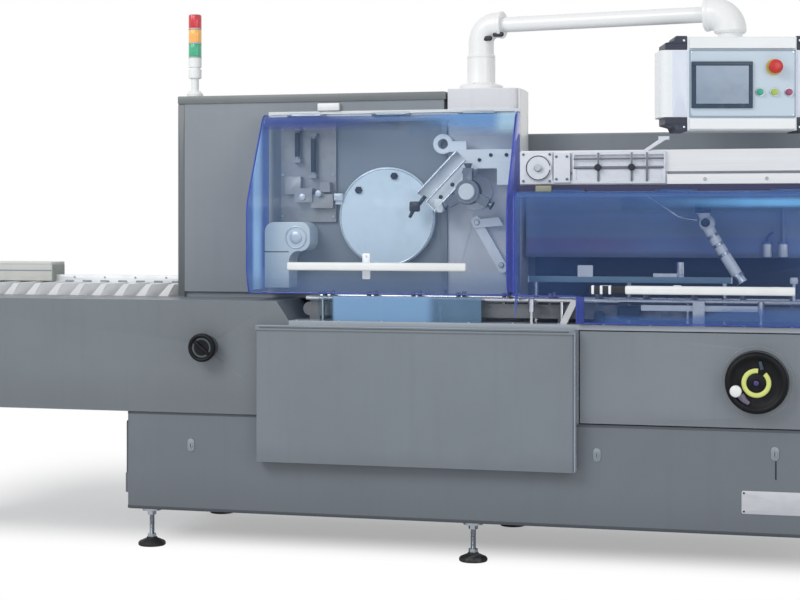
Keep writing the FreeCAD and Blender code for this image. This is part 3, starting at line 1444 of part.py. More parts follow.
def make_pendant():
    """Pendant arm on the pillar: flanged post, swinging tube with two cast elbows, and the control box."""
    post = turned("PostBody", [
        ("0", "0"),
        ("post_flange_radius", "0"),
        ("post_flange_radius", "14"),
        ("post_column_radius", "24"),
        ("post_column_radius", "post_top - pillar_top"),
        ("0", "post_top - pillar_top"),
    ])
    finish(post, "pendant_post", x="post_across", y="post_back", z="pillar_top")

    arm = shaped("PendantArm", pendant_tube())
    arm.Placement = Placement(Vector(), Rotation(Vector(0, 0, 1), -size("arm_yaw")))
    finish(arm, "pendant_arm", x="post_across", y="post_back")

    across = "post_across + arm_length * cos(arm_yaw)"
    depth = "post_back - arm_length * sin(arm_yaw)"
    turn = Rotation(Vector(0, 0, 1), size("box_yaw"))
    box = new_body("ControlBox")
    plan = [
        ("-box_width / 2", "-box_depth / 2"),
        ("box_width / 2", "-box_depth / 2"),
        ("box_width / 2", "box_depth / 2"),
        ("-box_width / 2", "box_depth / 2"),
    ]
    main = pad(box, outline(box, "BoxPlan", "XY_Plane", plan), "box_height - seat_gap")
    fillet(box, main, "box_corner", ALONG_Z)
    low_bar = rectangle("-box_width / 2 + box_column", "frame_bar_gap", "box_width / 2 - box_column",
                        "box_frame - frame_bar_gap")
    high_bar = rectangle("-box_width / 2 + box_column", "box_height - box_frame + frame_bar_gap",
                         "box_width / 2 - box_column",
                         "box_height - seat_gap - frame_bar_gap")
    for name, corners in (("BoxLowBar", low_bar), ("BoxHighBar", high_bar)):
        pad(box, outline(box, name, "XZ_Plane", corners, "box_depth / 2"), "frame_bar_depth")
    doc.recompute()
    for side, (left, right) in (
        ("Left", ("-box_width", "-box_width / 2 + box_column - cap_inset")),
        ("Right", ("box_width / 2 - box_column + cap_inset", "box_width")),
    ):
        for end, (low, high) in (("Low", ("-cap_inset", "box_frame")),
                                 ("High", ("box_height - box_frame", "box_height + cap_inset"))):
            notch = outline(box, f"Box{side}{end}", "XZ_Plane", rectangle(left, low, right, high),
                            "box_depth")
            pocket(box, notch, "2 * box_depth")
    box.Placement = Placement(Vector(), turn)
    finish(box, "control_box", x=f"{across} + box_offset * cos(box_yaw)",
           y=f"{depth} + box_offset * sin(box_yaw)",
           z="box_top - box_height")

    corner_caps = []
    for side in (-1, 1):
        for end, low in (("Low", "0"), ("High", "box_height")):
            up = 1 if end == "Low" else -1
            cap = new_body(f"Cap{end}{'Left' if side < 0 else 'Right'}")
            outer = f"{side} * (box_width / 2 - cap_shoulder * 0.7)"
            inner = f"{side} * (box_width / 2 - box_column + cap_inset)"
            corners = [
                (inner, f"{-up} * cap_rise"),
                (f"{outer} - ({side}) * cap_step", f"{-up} * cap_rise"),
                (f"{outer} - ({side}) * cap_step * 0.8", f"{up} * cap_shoulder * 0.5"),
                (outer, f"{up} * cap_shoulder * 0.8"),
                (outer, f"{up} * (box_frame - seat_gap)"),
                (inner, f"{up} * (box_frame - seat_gap)"),
            ]
            pad(cap, outline(cap, cap.Name + "Face", "XZ_Plane", corners, "box_depth / 2 - cap_inset"),
                "box_depth - 2 * cap_inset", True)
            move(cap, "0", "0", low)
            corner_caps.append(cap)
    caps = group("BoxCaps", corner_caps)

    # The pieces on the box's face are placed in the box's own axes, then turned with it.
    def on_face(piece, label, x, y, z):
        piece.Placement = Placement(Vector(), turn.multiply(piece.Placement.Rotation))
        finish(
            piece, label,
            x=f"{across} + (box_offset + ({x})) * cos(box_yaw) - ({y}) * sin(box_yaw)",
            y=f"{depth} + (box_offset + ({x})) * sin(box_yaw) + ({y}) * cos(box_yaw)",
            z=f"box_top - box_height + ({z})",
        )

    on_face(caps, "box_caps", "0", "0", "0")
    front = "-box_depth / 2"
    panel = block("PanelPlate", "0", "0", "0", "box_width - 2 * box_column",
                  "panel_thickness", "box_height - 2 * box_frame")
    on_face(panel, "control_panel", "-box_width / 2 + box_column", f"{front} - panel_thickness", "box_frame")
    bezel = block("BezelPlate", "0", "0", "0", "bezel_width", "bezel_thickness", "bezel_height")
    bezel_left = "-box_width / 2 + box_column + bezel_margin"
    bezel_low = "box_height / 2 - bezel_height / 2 + bezel_rise"
    on_face(bezel, "screen_bezel", bezel_left, f"{front} - panel_thickness - bezel_thickness", bezel_low)
    screen = block("ScreenPlate", "0", "0", "0", "bezel_width - 2 * screen_margin", "2",
                   "bezel_height - 2 * screen_margin")
    on_face(screen, "touch_screen", f"{bezel_left} + screen_margin",
            f"{front} - panel_thickness - bezel_thickness - 2",
            f"{bezel_low} + screen_margin")

    stop = turned("StopBody", [
        ("0", "0"),
        ("stop_radius", "0"),
        ("stop_radius", "6"),
        ("stop_radius * 0.6", "8"),
        ("stop_radius * 0.6", "20"),
        ("stop_radius", "24"),
        ("stop_radius", "30"),
        ("stop_radius * 0.7", "36"),
        ("0", "38"),
    ])
    stop.Placement = Placement(Vector(), Rotation(Vector(1, 0, 0), 90))
    on_face(stop, "stop_button", "stop_across", f"{front} - panel_thickness", "box_height / 2 + stop_level")

    buttons = []
    for number in range(3):
        button = turned(f"Button{number}", [
            ("0", "0"),
            ("button_radius + 3", "0"),
            ("button_radius + 3", "4"),
            ("button_radius", "5"),
            ("button_radius", "11"),
            ("0", "12"),
        ])
        button.Placement = Placement(Vector(), Rotation(Vector(1, 0, 0), 90))
        move(button, f"button_spacing * {number - 1}", "0", "0")
        buttons.append(button)
    on_face(group("Buttons", buttons), "push_buttons", "stop_across", f"{front} - panel_thickness",
            "box_height / 2 - button_level")


def pendant_tube():
    """Both elbows and the tube between them, along +X from the post's axis."""
    low, level = size("post_top") + size("seat_gap"), size("arm_level")
    length, bend = size("arm_length"), size("elbow_bend")
    end = size("box_top") + size("seat_gap")
    quarter = math.sqrt(0.5)

    def elbow(first, middle, last, run_in, run_out, radius):
        edges = []
        if (first - run_in).Length > 0.01:
            edges.append(Part.LineSegment(run_in, first).toShape())
        edges.append(Part.Arc(first, middle, last).toShape())
        if (run_out - last).Length > 0.01:
            edges.append(Part.LineSegment(last, run_out).toShape())
        path = Part.Wire(edges)
        direction = first - run_in if (first - run_in).Length > 0.01 else Vector(1, 0, 0)
        section = Part.Wire(Part.makeCircle(radius, run_in, direction))
        return path.makePipeShell([section], True, False)

    radius = size("elbow_radius")
    left = elbow(
        Vector(0, 0, level - bend), Vector(bend * (1 - quarter), 0, level - bend * (1 - quarter)),
        Vector(bend, 0, level),
        Vector(0, 0, low), Vector(bend + 20, 0, level), radius * 0.82,
    )
    right = elbow(
        Vector(length - bend, 0, level), Vector(length - bend * (1 - quarter), 0,
                                                level - bend * (1 - quarter)),
        Vector(length, 0, level - bend), Vector(length - bend - 20, 0, level), Vector(length, 0, end), radius,
    )
    tube = Part.makeCylinder(size("arm_tube_radius"), length - 2 * bend - 20, Vector(bend + 10, 0, level),
                             Vector(1, 0, 0))
    return left.fuse([right, tube]).removeSplitter()


def make_signal_tower():
    """Signal tower: base, pole and three stacked lamps."""
    pole = turned("PoleBody", [
        ("0", "0"),
        ("tower_radius + 6", "0"),
        ("tower_radius + 6", "tower_foot / 2"),
        ("tower_radius - 4", "tower_foot"),
        ("tower_radius - 10", "tower_foot"),
        ("tower_radius - 10", "tower_pole_height - 3.6 * tower_foot"),
        ("tower_radius", "tower_pole_height - 3.4 * tower_foot"),
        ("tower_radius", "tower_pole_height - 2 * tower_foot"),
        ("tower_radius - 4", "tower_pole_height - 2 * tower_foot"),
        ("tower_radius - 4", "tower_pole_height - 1.6 * tower_foot"),
        ("tower_radius", "tower_pole_height - 1.6 * tower_foot"),
        ("tower_radius", "tower_pole_height"),
        ("0", "tower_pole_height"),
    ])
    finish(pole, "signal_pole", x="tower_across", y="tower_back", z="cabinet_top")
    lamps = []
    for number in range(3):
        lamp = turned(f"Lamp{number}", [
            ("0", "0"),
            ("tower_radius", "0"),
            ("tower_radius", "lamp_height - 5"),
            ("tower_radius - 3", "lamp_height"),
            ("0", "lamp_height"),
        ])
        move(lamp, "0", "0", f"(lamp_height + seat_gap) * {number}")
        lamps.append(lamp)
    finish(group("Lamps", lamps), "signal_lamps", x="tower_across", y="tower_back",
           z="cabinet_top + tower_pole_height + seat_gap")


def make_handwheels():
    """The two handwheels, each turned about its own shaft."""
    wheel = turned("WheelBody", [
        ("0", "-wheel_shaft_depth"),
        ("wheel_shaft_radius", "-wheel_shaft_depth"),
        ("wheel_shaft_radius", "0.5"),
        ("wheel_shaft_radius + 16", "0.5"),
        ("wheel_shaft_radius + 16", "28"),
        ("wheel_radius * 0.8", "34"),
        ("wheel_radius - 8", "30"),
        ("wheel_radius", "38"),
        ("wheel_radius", "50"),
        ("wheel_radius - 10", "58"),
        ("wheel_radius - 22", "52"),
        ("wheel_radius * 0.58", "46"),
        ("wheel_radius * 0.5", "54"),
        ("wheel_radius * 0.4", "54"),
        ("wheel_radius * 0.34", "46"),
        ("0", "46"),
    ])
    knob = circle(wheel, "WheelKnob", "XY_Plane", "-wheel_knob_across", "-wheel_knob_drop",
                  "wheel_knob_radius",
                  "wheel_radius * 0.44")
    pad(wheel, knob, "wheel_knob_reach - wheel_radius * 0.44")
    wheel.Placement = Placement(Vector(), Rotation(Vector(1, 0, 0), 90))
    finish(wheel, "main_handwheel", x="wheel_across", z="wheel_level")

    small = turned("SmallWheelBody", [
        ("0", "-wheel_shaft_depth"),
        ("small_shaft_radius", "-wheel_shaft_depth"),
        ("small_shaft_radius", "0.5"),
        ("small_shaft_radius + 14", "0.5"),
        ("small_shaft_radius + 12", "34"),
        ("small_wheel_radius - 10", "42"),
        ("small_wheel_radius", "48"),
        ("small_wheel_radius", "58"),
        ("small_wheel_radius - 7", "64"),
        ("small_wheel_radius - 14", "58"),
        ("small_shaft_radius + 10", "54"),
        ("small_shaft_radius + 8", "60"),
        ("0", "60"),
    ])
    small.Placement = Placement(Vector(), Rotation(Vector(1, 0, 0), 90))
    finish(small, "small_handwheel", x="small_wheel_across", z="small_wheel_level")


def make_outfeed():
    """Discharge conveyor at the right end: side frame with rollers, and its belt."""
    bottom = "deck_top - outfeed_drop"
    frame = []
    for number in range(2):
        depth = f"outfeed_front + (outfeed_width - outfeed_wall) * {number}"
        frame.append(block(f"OutfeedWall{number}", "base_length", depth, bottom, "outfeed_length",
                           "outfeed_wall",
                           "outfeed_drop + outfeed_lip"))
    frame.append(block("OutfeedBed", "base_length", "outfeed_front", bottom,
                       "outfeed_length - 1.5 * outfeed_shaft_margin",
                       "outfeed_width", "outfeed_bed"))
    ends = ("base_length + outfeed_shaft_margin", "base_length + outfeed_length - outfeed_shaft_margin")
    for number, across in enumerate(ends):
        frame.append(bar(f"OutfeedRoller{number}", "y", across, "outfeed_front", "deck_top - outfeed_sink",
                         "outfeed_roller - outfeed_belt_thickness - seat_gap", "outfeed_width"))
    finish(join("OutfeedPieces", frame), "outfeed_frame")
    finish(shaped("OutfeedBelt", belt_loop()), "outfeed_belt")


def belt_loop():
    """The flat belt round the two outfeed rollers."""
    left = size("base_length") + size("outfeed_shaft_margin")
    right = size("base_length") + size("outfeed_length") - size("outfeed_shaft_margin")
    level = size("deck_top") - size("outfeed_sink")
    front = size("outfeed_front") + size("outfeed_wall") + size("outfeed_sink")
    width = size("outfeed_width") - 2 * (size("outfeed_wall") + size("outfeed_sink"))
    outer = size("outfeed_roller")
    inner = outer - size("outfeed_belt_thickness")
    return stadium(left, right, front, level, outer, width).cut(stadium(left, right, front, level, inner,
                                                                        width))


make_base()
make_feet()
make_infeed()
make_upper_body()
make_cabinets()
make_pillar()
make_hood_rails()
make_left_hood()
make_right_hood()
make_magazine()
make_feeder()
make_slide_unit()
make_drive_housing()
make_carton_line()
make_product_rail()
make_nozzle()
make_pendant()
make_signal_tower()
make_handwheels()
make_outfeed()
doc.recompute()

for item in doc.Objects:
    if "Invalid" in item.State or "Error" in item.State:
        raise RuntimeError(f"{item.Label} failed: {item.State}")
whole = None
for node in nodes:
    shape = node.Shape
    if shape.isNull() or not shape.isValid() or not shape.Solids:
        raise RuntimeError(f"{node.Label} has no valid solid")
    box = shape.BoundBox
    whole = box if whole is None else whole.united(box)
    print(f"{node.Label:18s} {len(shape.Solids)} solids {shape.Volume / 1e6:9.2f} litres "
          f"x {box.XMin:7.1f} {box.XMax:7.1f} y {box.YMin:7.1f} {box.YMax:7.1f} "
          f"z {box.ZMin:7.1f} {box.ZMax:7.1f}")
print(len(nodes), "sub-parts", whole)
for node in nodes:
    node.Shape.exportStep(f"parts/{node.Label}.step")
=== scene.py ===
# %% [markdown]
# # A cartoning machine, dressed for its picture
# A cartoning machine opens flat cartons, fills them from a bucket chain and closes them.
# Its solids are already worked out to size. Here they get rounded edges, real finishes and the small
# fittings that a person standing at the machine would see.
# %% Load the machine's solids
import json
import math

import bmesh
import bpy
import numpy as np
from mathutils import Matrix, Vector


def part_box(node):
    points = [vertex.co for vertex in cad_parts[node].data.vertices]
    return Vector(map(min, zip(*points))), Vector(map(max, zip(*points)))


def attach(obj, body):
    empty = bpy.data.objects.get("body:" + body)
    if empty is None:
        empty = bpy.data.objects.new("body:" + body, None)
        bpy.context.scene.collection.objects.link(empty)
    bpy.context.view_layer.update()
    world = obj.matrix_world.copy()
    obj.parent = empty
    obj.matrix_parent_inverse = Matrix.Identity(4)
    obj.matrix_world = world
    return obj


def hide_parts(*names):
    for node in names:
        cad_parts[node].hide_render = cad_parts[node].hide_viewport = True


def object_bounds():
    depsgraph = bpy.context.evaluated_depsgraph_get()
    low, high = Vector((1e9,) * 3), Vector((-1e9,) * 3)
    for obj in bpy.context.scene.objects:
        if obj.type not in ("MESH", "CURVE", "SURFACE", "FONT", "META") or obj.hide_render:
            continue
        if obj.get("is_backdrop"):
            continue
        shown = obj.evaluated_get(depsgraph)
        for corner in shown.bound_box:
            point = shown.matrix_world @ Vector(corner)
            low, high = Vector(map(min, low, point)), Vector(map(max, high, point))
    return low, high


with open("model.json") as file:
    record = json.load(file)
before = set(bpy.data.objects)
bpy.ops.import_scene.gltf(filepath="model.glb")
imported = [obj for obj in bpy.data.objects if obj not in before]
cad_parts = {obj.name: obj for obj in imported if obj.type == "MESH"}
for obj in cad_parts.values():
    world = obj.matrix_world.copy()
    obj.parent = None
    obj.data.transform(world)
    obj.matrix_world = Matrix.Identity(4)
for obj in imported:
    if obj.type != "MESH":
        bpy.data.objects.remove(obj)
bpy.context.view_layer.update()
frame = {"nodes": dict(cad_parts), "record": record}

BODY_OF = {node: body for body, members in frame["record"]["behaviour"]["bodies"].items() for node in members}

# %% [markdown]
# ## Surfaces from formulas
# Most fittings on a machine are turned, bent or cut from plate, so three kinds of surface are enough: a
# profile turned round an axis, a round section carried along a path, and an outline given a thickness
# with a rounded rim. Each is a grid of points, worked out as whole arrays.
# %% The grid that every surface is made of
def grid(rows):
    """Quads between the rows of an (n, m, 3) array; the last point of a row joins its first, and each end
    row is drawn together in its middle, so the surface is closed."""
    rows = np.concatenate([
        np.broadcast_to(rows[:1].mean(1, keepdims=True), rows[:1].shape),
        rows,
        np.broadcast_to(rows[-1:].mean(1, keepdims=True), rows[-1:].shape),
    ])
    count, around = rows.shape[:2]
    index = np.arange(count * around).reshape(count, around)
    index = np.hstack([index, index[:, :1]])
    quads = np.stack([index[:-1, :-1], index[:-1, 1:], index[1:, 1:], index[1:, :-1]], -1)
    return rows.reshape(-1, 3), quads.reshape(-1, 4)


def axes_for(axis, up=(0, 0, 1)):
    """Three unit rows: sideways, upward and along the axis, with up as near to the given one as it can be."""
    axis = np.array(axis, float) / np.linalg.norm(axis)
    side = np.cross(up, axis)
    if np.linalg.norm(side) < 1e-6:
        side = np.array([1.0, 0, 0])
    side = side / np.linalg.norm(side)
    return np.stack([side, np.cross(axis, side), axis])


def put(shape, centre=(0, 0, 0), axis=(0, 0, 1), up=(0, 0, 1)):
    """A shape made round the z axis, moved so that z lies along the axis and zero lies at the centre."""
    points, quads = shape
    return points @ axes_for(axis, up) + np.array(centre, float), quads


def together(shapes):
    """Several shapes as one: their points in a row, and their quads counted on."""
    starts = np.cumsum([0] + [len(points) for points, quads in shapes[:-1]])
    return (np.vstack([points for points, quads in shapes]),
            np.vstack([quads + start for start, (points, quads) in zip(starts, shapes)]))


def copies(shape, places):
    """The same shape at each of the places."""
    points, quads = shape
    places = np.array(places, float).reshape(-1, 3)
    everywhere = points[None] + places[:, None]
    shifts = np.arange(len(places))[:, None, None] * len(points)
    return everywhere.reshape(-1, 3), (quads[None] + shifts).reshape(-1, 4)


# %% Turned, swept and plate shapes
FRONT, BACK, LEFT, RIGHT, UP = (0, -1, 0), (0, 1, 0), (-1, 0, 0), (1, 0, 0), (0, 0, 1)


def turned(profile, sides=32):
    """(radius, height) pairs turned round z: a point is (radius cos a, radius sin a, height)."""
    profile = np.array(profile, float)
    angle = np.arange(sides) * 2 * np.pi / sides
    ring = np.stack([np.cos(angle), np.sin(angle)], -1)
    flat = profile[:, None, :1] * ring
    height = np.broadcast_to(profile[:, None, 1:], (len(profile), sides, 1))
    return grid(np.concatenate([flat, height], -1))


def rounded(corners, radius, steps=4):
    """An open run of corners with each inner corner replaced by a curve: (1-t)^2 a + 2t(1-t) corner + t^2 b."""
    corners = np.array(corners, float)
    before, corner, after = corners[:-2], corners[1:-1], corners[2:]
    reach = np.minimum(radius, 0.49 * np.minimum(np.linalg.norm(corner - before, axis=1),
                                                 np.linalg.norm(after - corner, axis=1)))[:, None]
    a = corner + (before - corner) / np.linalg.norm(before - corner, axis=1, keepdims=True) * reach
    b = corner + (after - corner) / np.linalg.norm(after - corner, axis=1, keepdims=True) * reach
    t = np.linspace(0, 1, steps + 1)[None, :, None]
    curve = (1 - t) ** 2 * a[:, None] + 2 * t * (1 - t) * corner[:, None] + t ** 2 * b[:, None]
    return np.vstack([corners[:1], curve.reshape(-1, corners.shape[1]), corners[-1:]])


def tube(path, radius, sides=14, side=(0, 1, 0)):
    """A round section carried along a path. The section's axes are a fixed side direction, made square to
    the path, and the direction square to both."""
    path = np.array(path, float)
    way = np.gradient(path, axis=0)
    way /= np.linalg.norm(way, axis=1, keepdims=True)
    across = np.array(side, float) - (way @ np.array(side, float))[:, None] * way
    across /= np.linalg.norm(across, axis=1, keepdims=True)
    other = np.cross(way, across)
    angle = np.arange(sides) * 2 * np.pi / sides
    radius = np.broadcast_to(np.array(radius, float), (len(path),))[:, None, None]
    ring = np.cos(angle)[None, :, None] * across[:, None] + np.sin(angle)[None, :, None] * other[:, None]
    return grid(path[:, None] + radius * ring)


def loop_of(width, height, radius, steps=4):
    """A rectangle's outline with rounded corners, counter-clockwise round zero."""
    radius = min(radius, width / 2 - 1e-5, height / 2 - 1e-5)
    angle = (np.arange(4)[:, None] * np.pi / 2 + np.linspace(0, np.pi / 2, steps + 1)[None]).ravel()
    centres = np.repeat(np.array([[1, 1], [-1, 1], [-1, -1], [1, -1]], float), steps + 1, 0)
    centres *= [width / 2 - radius, height / 2 - radius]
    return centres + radius * np.stack([np.cos(angle), np.sin(angle)], -1)


def plate(outline, depth, rim=0.001, steps=2, back_rim=0.0):
    """An outline given a thickness from z = 0 to depth. The rim is a quarter round: inset r(1 - cos a) and
    height r sin a, measured along the outline's own normals."""
    outline = np.array(outline, float)
    way = np.roll(outline, -1, 0) - np.roll(outline, 1, 0)
    normal = np.stack([way[:, 1], -way[:, 0]], -1) / np.maximum(np.linalg.norm(way, axis=1, keepdims=True), 1e-9)
    turn = np.linspace(0, np.pi / 2, steps + 1)
    inset = np.concatenate([back_rim * (1 - np.sin(turn)), rim * (1 - np.cos(turn))])
    height = np.concatenate([back_rim * (1 - np.cos(turn)), depth - rim * (1 - np.sin(turn))])
    flat = outline[None] - inset[:, None, None] * normal[None]
    rows = np.concatenate([flat, np.broadcast_to(height[:, None, None], flat.shape[:2] + (1,))], -1)
    return grid(rows)


def block(low, high, rim=0.0015, corner=0.003, axis="z"):
    """A box between two corners with every edge softened: a rounded plate along one of the three axes."""
    low, high = np.array(low, float), np.array(high, float)
    size, middle = high - low, (low + high) / 2
    if axis == "z":
        points, quads = plate(loop_of(size[0], size[1], corner), size[2], rim, 2, rim)
        return points + np.array([middle[0], middle[1], low[2]]), quads
    if axis == "y":
        shape = plate(loop_of(size[0], size[2], corner), size[1], rim, 2, rim)
        return put(shape, (middle[0], high[1], middle[2]), FRONT)
    shape = plate(loop_of(size[1], size[2], corner), size[0], rim, 2, rim)
    return put(shape, (low[0], middle[1], middle[2]), RIGHT)


# %% From shapes to pieces on the machine
def piece(name, shapes, finish, body="machine", stands_for=(), sharp=35):
    """One object of the scene from a list of shapes: doubles merged, faces turned outwards, and edges
    sharper than the given angle kept sharp."""
    points, quads = together(shapes)
    mesh = bpy.data.meshes.new(name)
    mesh.from_pydata(points.tolist(), [], quads.tolist())
    tidy(mesh, 2e-6)
    made = bpy.data.objects.new(name, mesh)
    return settle(made, finish, body, stands_for, sharp)


def tidy(mesh, distance, flat=None):
    """Merge doubled points, join faces that lie in one plane, and turn all faces outwards."""
    work = bmesh.new()
    work.from_mesh(mesh)
    bmesh.ops.remove_doubles(work, verts=work.verts, dist=distance)
    bmesh.ops.dissolve_degenerate(work, dist=distance, edges=work.edges)
    if flat:
        bmesh.ops.dissolve_limit(work, angle_limit=math.radians(flat), verts=work.verts, edges=work.edges)
    bmesh.ops.recalc_face_normals(work, faces=work.faces)
    work.to_mesh(mesh)
    work.free()


def settle(made, finish, body, stands_for, sharp=35):
    """Link an object, give it its finish and shading, and let it ride on its body."""
    bpy.context.scene.collection.objects.link(made)
    made.data.materials.clear()
    for coat in finish if isinstance(finish, (list, tuple)) else [finish]:
        made.data.materials.append(coat)
    made.data.shade_smooth()
    made.data.set_sharp_from_angle(angle=math.radians(sharp))
    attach(made, body)
    if stands_for:
        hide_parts(*stands_for)
    return made


def softened(node, finish, width=0.0015, segments=2, angle=40):
    """A copy of a solid with its edges rounded, as a press brake or a file leaves them. The bevel's own
    faces take the second finish, where there is one: that is where paint rubs thin."""
    mesh = frame["nodes"][node].data.copy()
    mesh.name = node + "_soft"
    tidy(mesh, 1e-5, flat=0.5)
    made = bpy.data.objects.new(node + "_soft", mesh)
    settle(made, finish, BODY_OF[node], [node], 30)
    bevel = made.modifiers.new("Edge", "BEVEL")
    bevel.width, bevel.segments = width, segments
    bevel.limit_method, bevel.angle_limit = "ANGLE", math.radians(angle)
    bevel.harden_normals = True
    bevel.material = 1 if isinstance(finish, (list, tuple)) and len(finish) > 1 else -1
    return made


# %% [markdown]
# ## Finishes as formulas
# A finish is a recipe of noise, steps and mixes. Writing it as arithmetic keeps it readable, so a socket
# is wrapped in a small class whose + - * / add the nodes.
# %% A socket that can be calculated with
class Reading:
    """A number in a finish that differs from place to place."""

    def __init__(self, finish, socket):
        """A socket, and the finish whose nodes it belongs to."""
        self.finish, self.socket = finish, socket

    def sum_of(self, operation, first, second):
        """One arithmetic node; the operators below all end here."""
        return self.finish.node("ShaderNodeMath", {"operation": operation}, (first, second))

    def __add__(self, other):
        return self.sum_of("ADD", self, other)

    def __sub__(self, other):
        return self.sum_of("SUBTRACT", self, other)

    def __rsub__(self, other):
        return self.sum_of("SUBTRACT", other, self)

    def __mul__(self, other):
        return self.sum_of("MULTIPLY", self, other)

    def __truediv__(self, other):
        return self.sum_of("DIVIDE", self, other)

    __radd__, __rmul__ = __add__, __mul__


class Finish:
    """A material under way. Everything reads the piece's own place on the machine, in metres."""

    def __init__(self, name):
        """A new material with its shader, ready to be worked out."""
        self.material = bpy.data.materials.new(name)
        self.material.use_nodes = True
        self.tree = self.material.node_tree
        self.shader = self.tree.nodes["Principled BSDF"]
        self.place = self.node("ShaderNodeTexCoord", output="Object")

    def node(self, kind, settings=None, values=(), output=0):
        """One node: its settings first, then a value or a link for each socket."""
        made = self.tree.nodes.new(kind)
        for key, setting in (settings or {}).items():
            setattr(made, key, setting)
        for key, value in (values.items() if isinstance(values, dict) else enumerate(values)):
            self.fill(made.inputs[key], value)
        return Reading(self, made.outputs[output])

    def fill(self, socket, value):
        """A link where the value is a reading, else a plain value."""
        if isinstance(value, Reading):
            self.tree.links.new(value.socket, socket)
        elif value is not None:
            socket.default_value = value

    def __setitem__(self, name, value):
        """finish[name] = value fills that socket of the shader."""
        self.fill(self.shader.inputs[name], value)

    def scaled(self, stretch, shift=(0, 0, 0)):
        """The place times a number for each axis, plus a shift."""
        times = self.node("ShaderNodeVectorMath", {"operation": "MULTIPLY"}, (self.place, stretch))
        return self.node("ShaderNodeVectorMath", {"operation": "ADD"}, (times, shift))

    def noise(self, scale, detail=3.0, stretch=(1, 1, 1), shift=(0, 0, 0)):
        """Soft noise from 0 to 1; the scale is in lumps a metre."""
        values = {"Vector": self.scaled(stretch, shift), "Scale": scale, "Detail": detail}
        return self.node("ShaderNodeTexNoise", None, values)

    def cells(self, scale, stretch=(1, 1, 1)):
        """The distance to the nearest of many scattered points."""
        return self.node("ShaderNodeTexVoronoi", None, {"Vector": self.scaled(stretch), "Scale": scale})

    def along(self, axis):
        """The place's x, y or z."""
        return self.node("ShaderNodeSeparateXYZ", None, (self.place,), output="XYZ".index(axis.upper()))

    def step(self, value, low, high, start=0.0, end=1.0):
        """A smooth step from start to end while the value goes from low to high."""
        values = {"Value": value, "From Min": low, "From Max": high, "To Min": start, "To Max": end}
        return self.node("ShaderNodeMapRange", {"interpolation_type": "SMOOTHSTEP"}, values)

    def mix(self, share, first, second):
        """Two colours mixed by a share from 0 to 1."""
        return self.node("ShaderNodeMix", {"data_type": "RGBA"}, {0: share, 6: first, 7: second}, output=2)

    def bump(self, height, distance, strength=1.0, onto=None):
        """A normal tilted by a height, on top of another normal where one is given."""
        values = {"Height": height, "Distance": distance, "Strength": strength, "Normal": onto}
        return self.node("ShaderNodeBump", None, values)


def rgb(red, green, blue):
    """A colour as a screen shows it, 0 to 255, as the linear numbers a shader takes."""
    screen = np.array([red, green, blue]) / 255
    linear = np.where(screen <= 0.04045, screen / 12.92, ((screen + 0.055) / 1.055) ** 2.4)
    return (*linear.tolist(), 1.0)


def times(colour, factor):
    """The colour made lighter or darker, and never more than full."""
    return tuple(min(1.0, channel * factor) for channel in colour[:3]) + (1.0,)


# %% [markdown]
# ## Paint
# The housings are powder coated: a faint orange-peel surface, a slow drift in tone, streaks where oily
# hands and cloths went up and down, and dust that settles low. One function makes every painted finish.
# %% Powder coat, enamel and rubbed edges
def paint(name, colour, rough=0.42, drift=0.05, dirt=0.16, peel=0.12, low=None):
    """Tone = slow noise + thin upright streaks + dust below a level; the bump is fine peel on slight waves."""
    coat = Finish(name)
    slow, fine = coat.noise(1.7, 4), coat.noise(160, 2)
    streak = coat.step(coat.noise(1.0, 4, (30, 30, 1.6)), 0.5, 0.74)
    blot = coat.step(coat.noise(7.5, 5, shift=(4, 2, 7)), 0.5, 0.72)
    tone = coat.mix(coat.step(slow, 0.3, 0.7), times(colour, 1 - drift), times(colour, 1 + drift))
    tone = coat.mix(streak * (dirt * 0.55) + blot * (dirt * 0.4), tone, times(colour, 0.62))
    tone = coat.mix(coat.step(fine, 0.62, 0.8) * 0.14, tone, times(colour, 1.35))
    if low:
        dust = coat.step(coat.along("z") + (coat.noise(9, 4) - 0.5) * 0.05, low[0], low[1], 1.0, 0.0)
        tone = coat.mix(dust * 0.3, tone, times(colour, 0.66))
    coat["Base Color"] = tone
    coat["Roughness"] = coat.step(slow, 0.25, 0.75) * 0.08 + blot * 0.1 + (rough - 0.05)
    waves = coat.bump(coat.noise(2.6, 1), 0.02, 0.06)
    coat["Normal"] = coat.bump(coat.noise(420, 2), 0.0006, peel, waves)
    return coat.material


def rubbed(name, colour, rough=0.38):
    """The same paint along an edge: lighter, smoother, and broken through in small specks."""
    coat = Finish(name)
    bare = coat.step(coat.noise(90, 4), 0.58, 0.66)
    soft = coat.noise(14, 3)
    coat["Base Color"] = coat.mix(bare * 0.7, coat.mix(soft, times(colour, 1.0), times(colour, 1.3)),
                                  times(colour, 1.9))
    coat["Roughness"] = bare * -0.1 + rough
    coat["Normal"] = coat.bump(coat.noise(300, 2), 0.0004, 0.15)
    return coat.material


def edged(name, colour, edge=None, edge_rough=0.38, **more):
    """A paint together with the rubbed paint of its edges."""
    return [paint(name, colour, **more), rubbed(name + "_edge", edge or colour, edge_rough)]


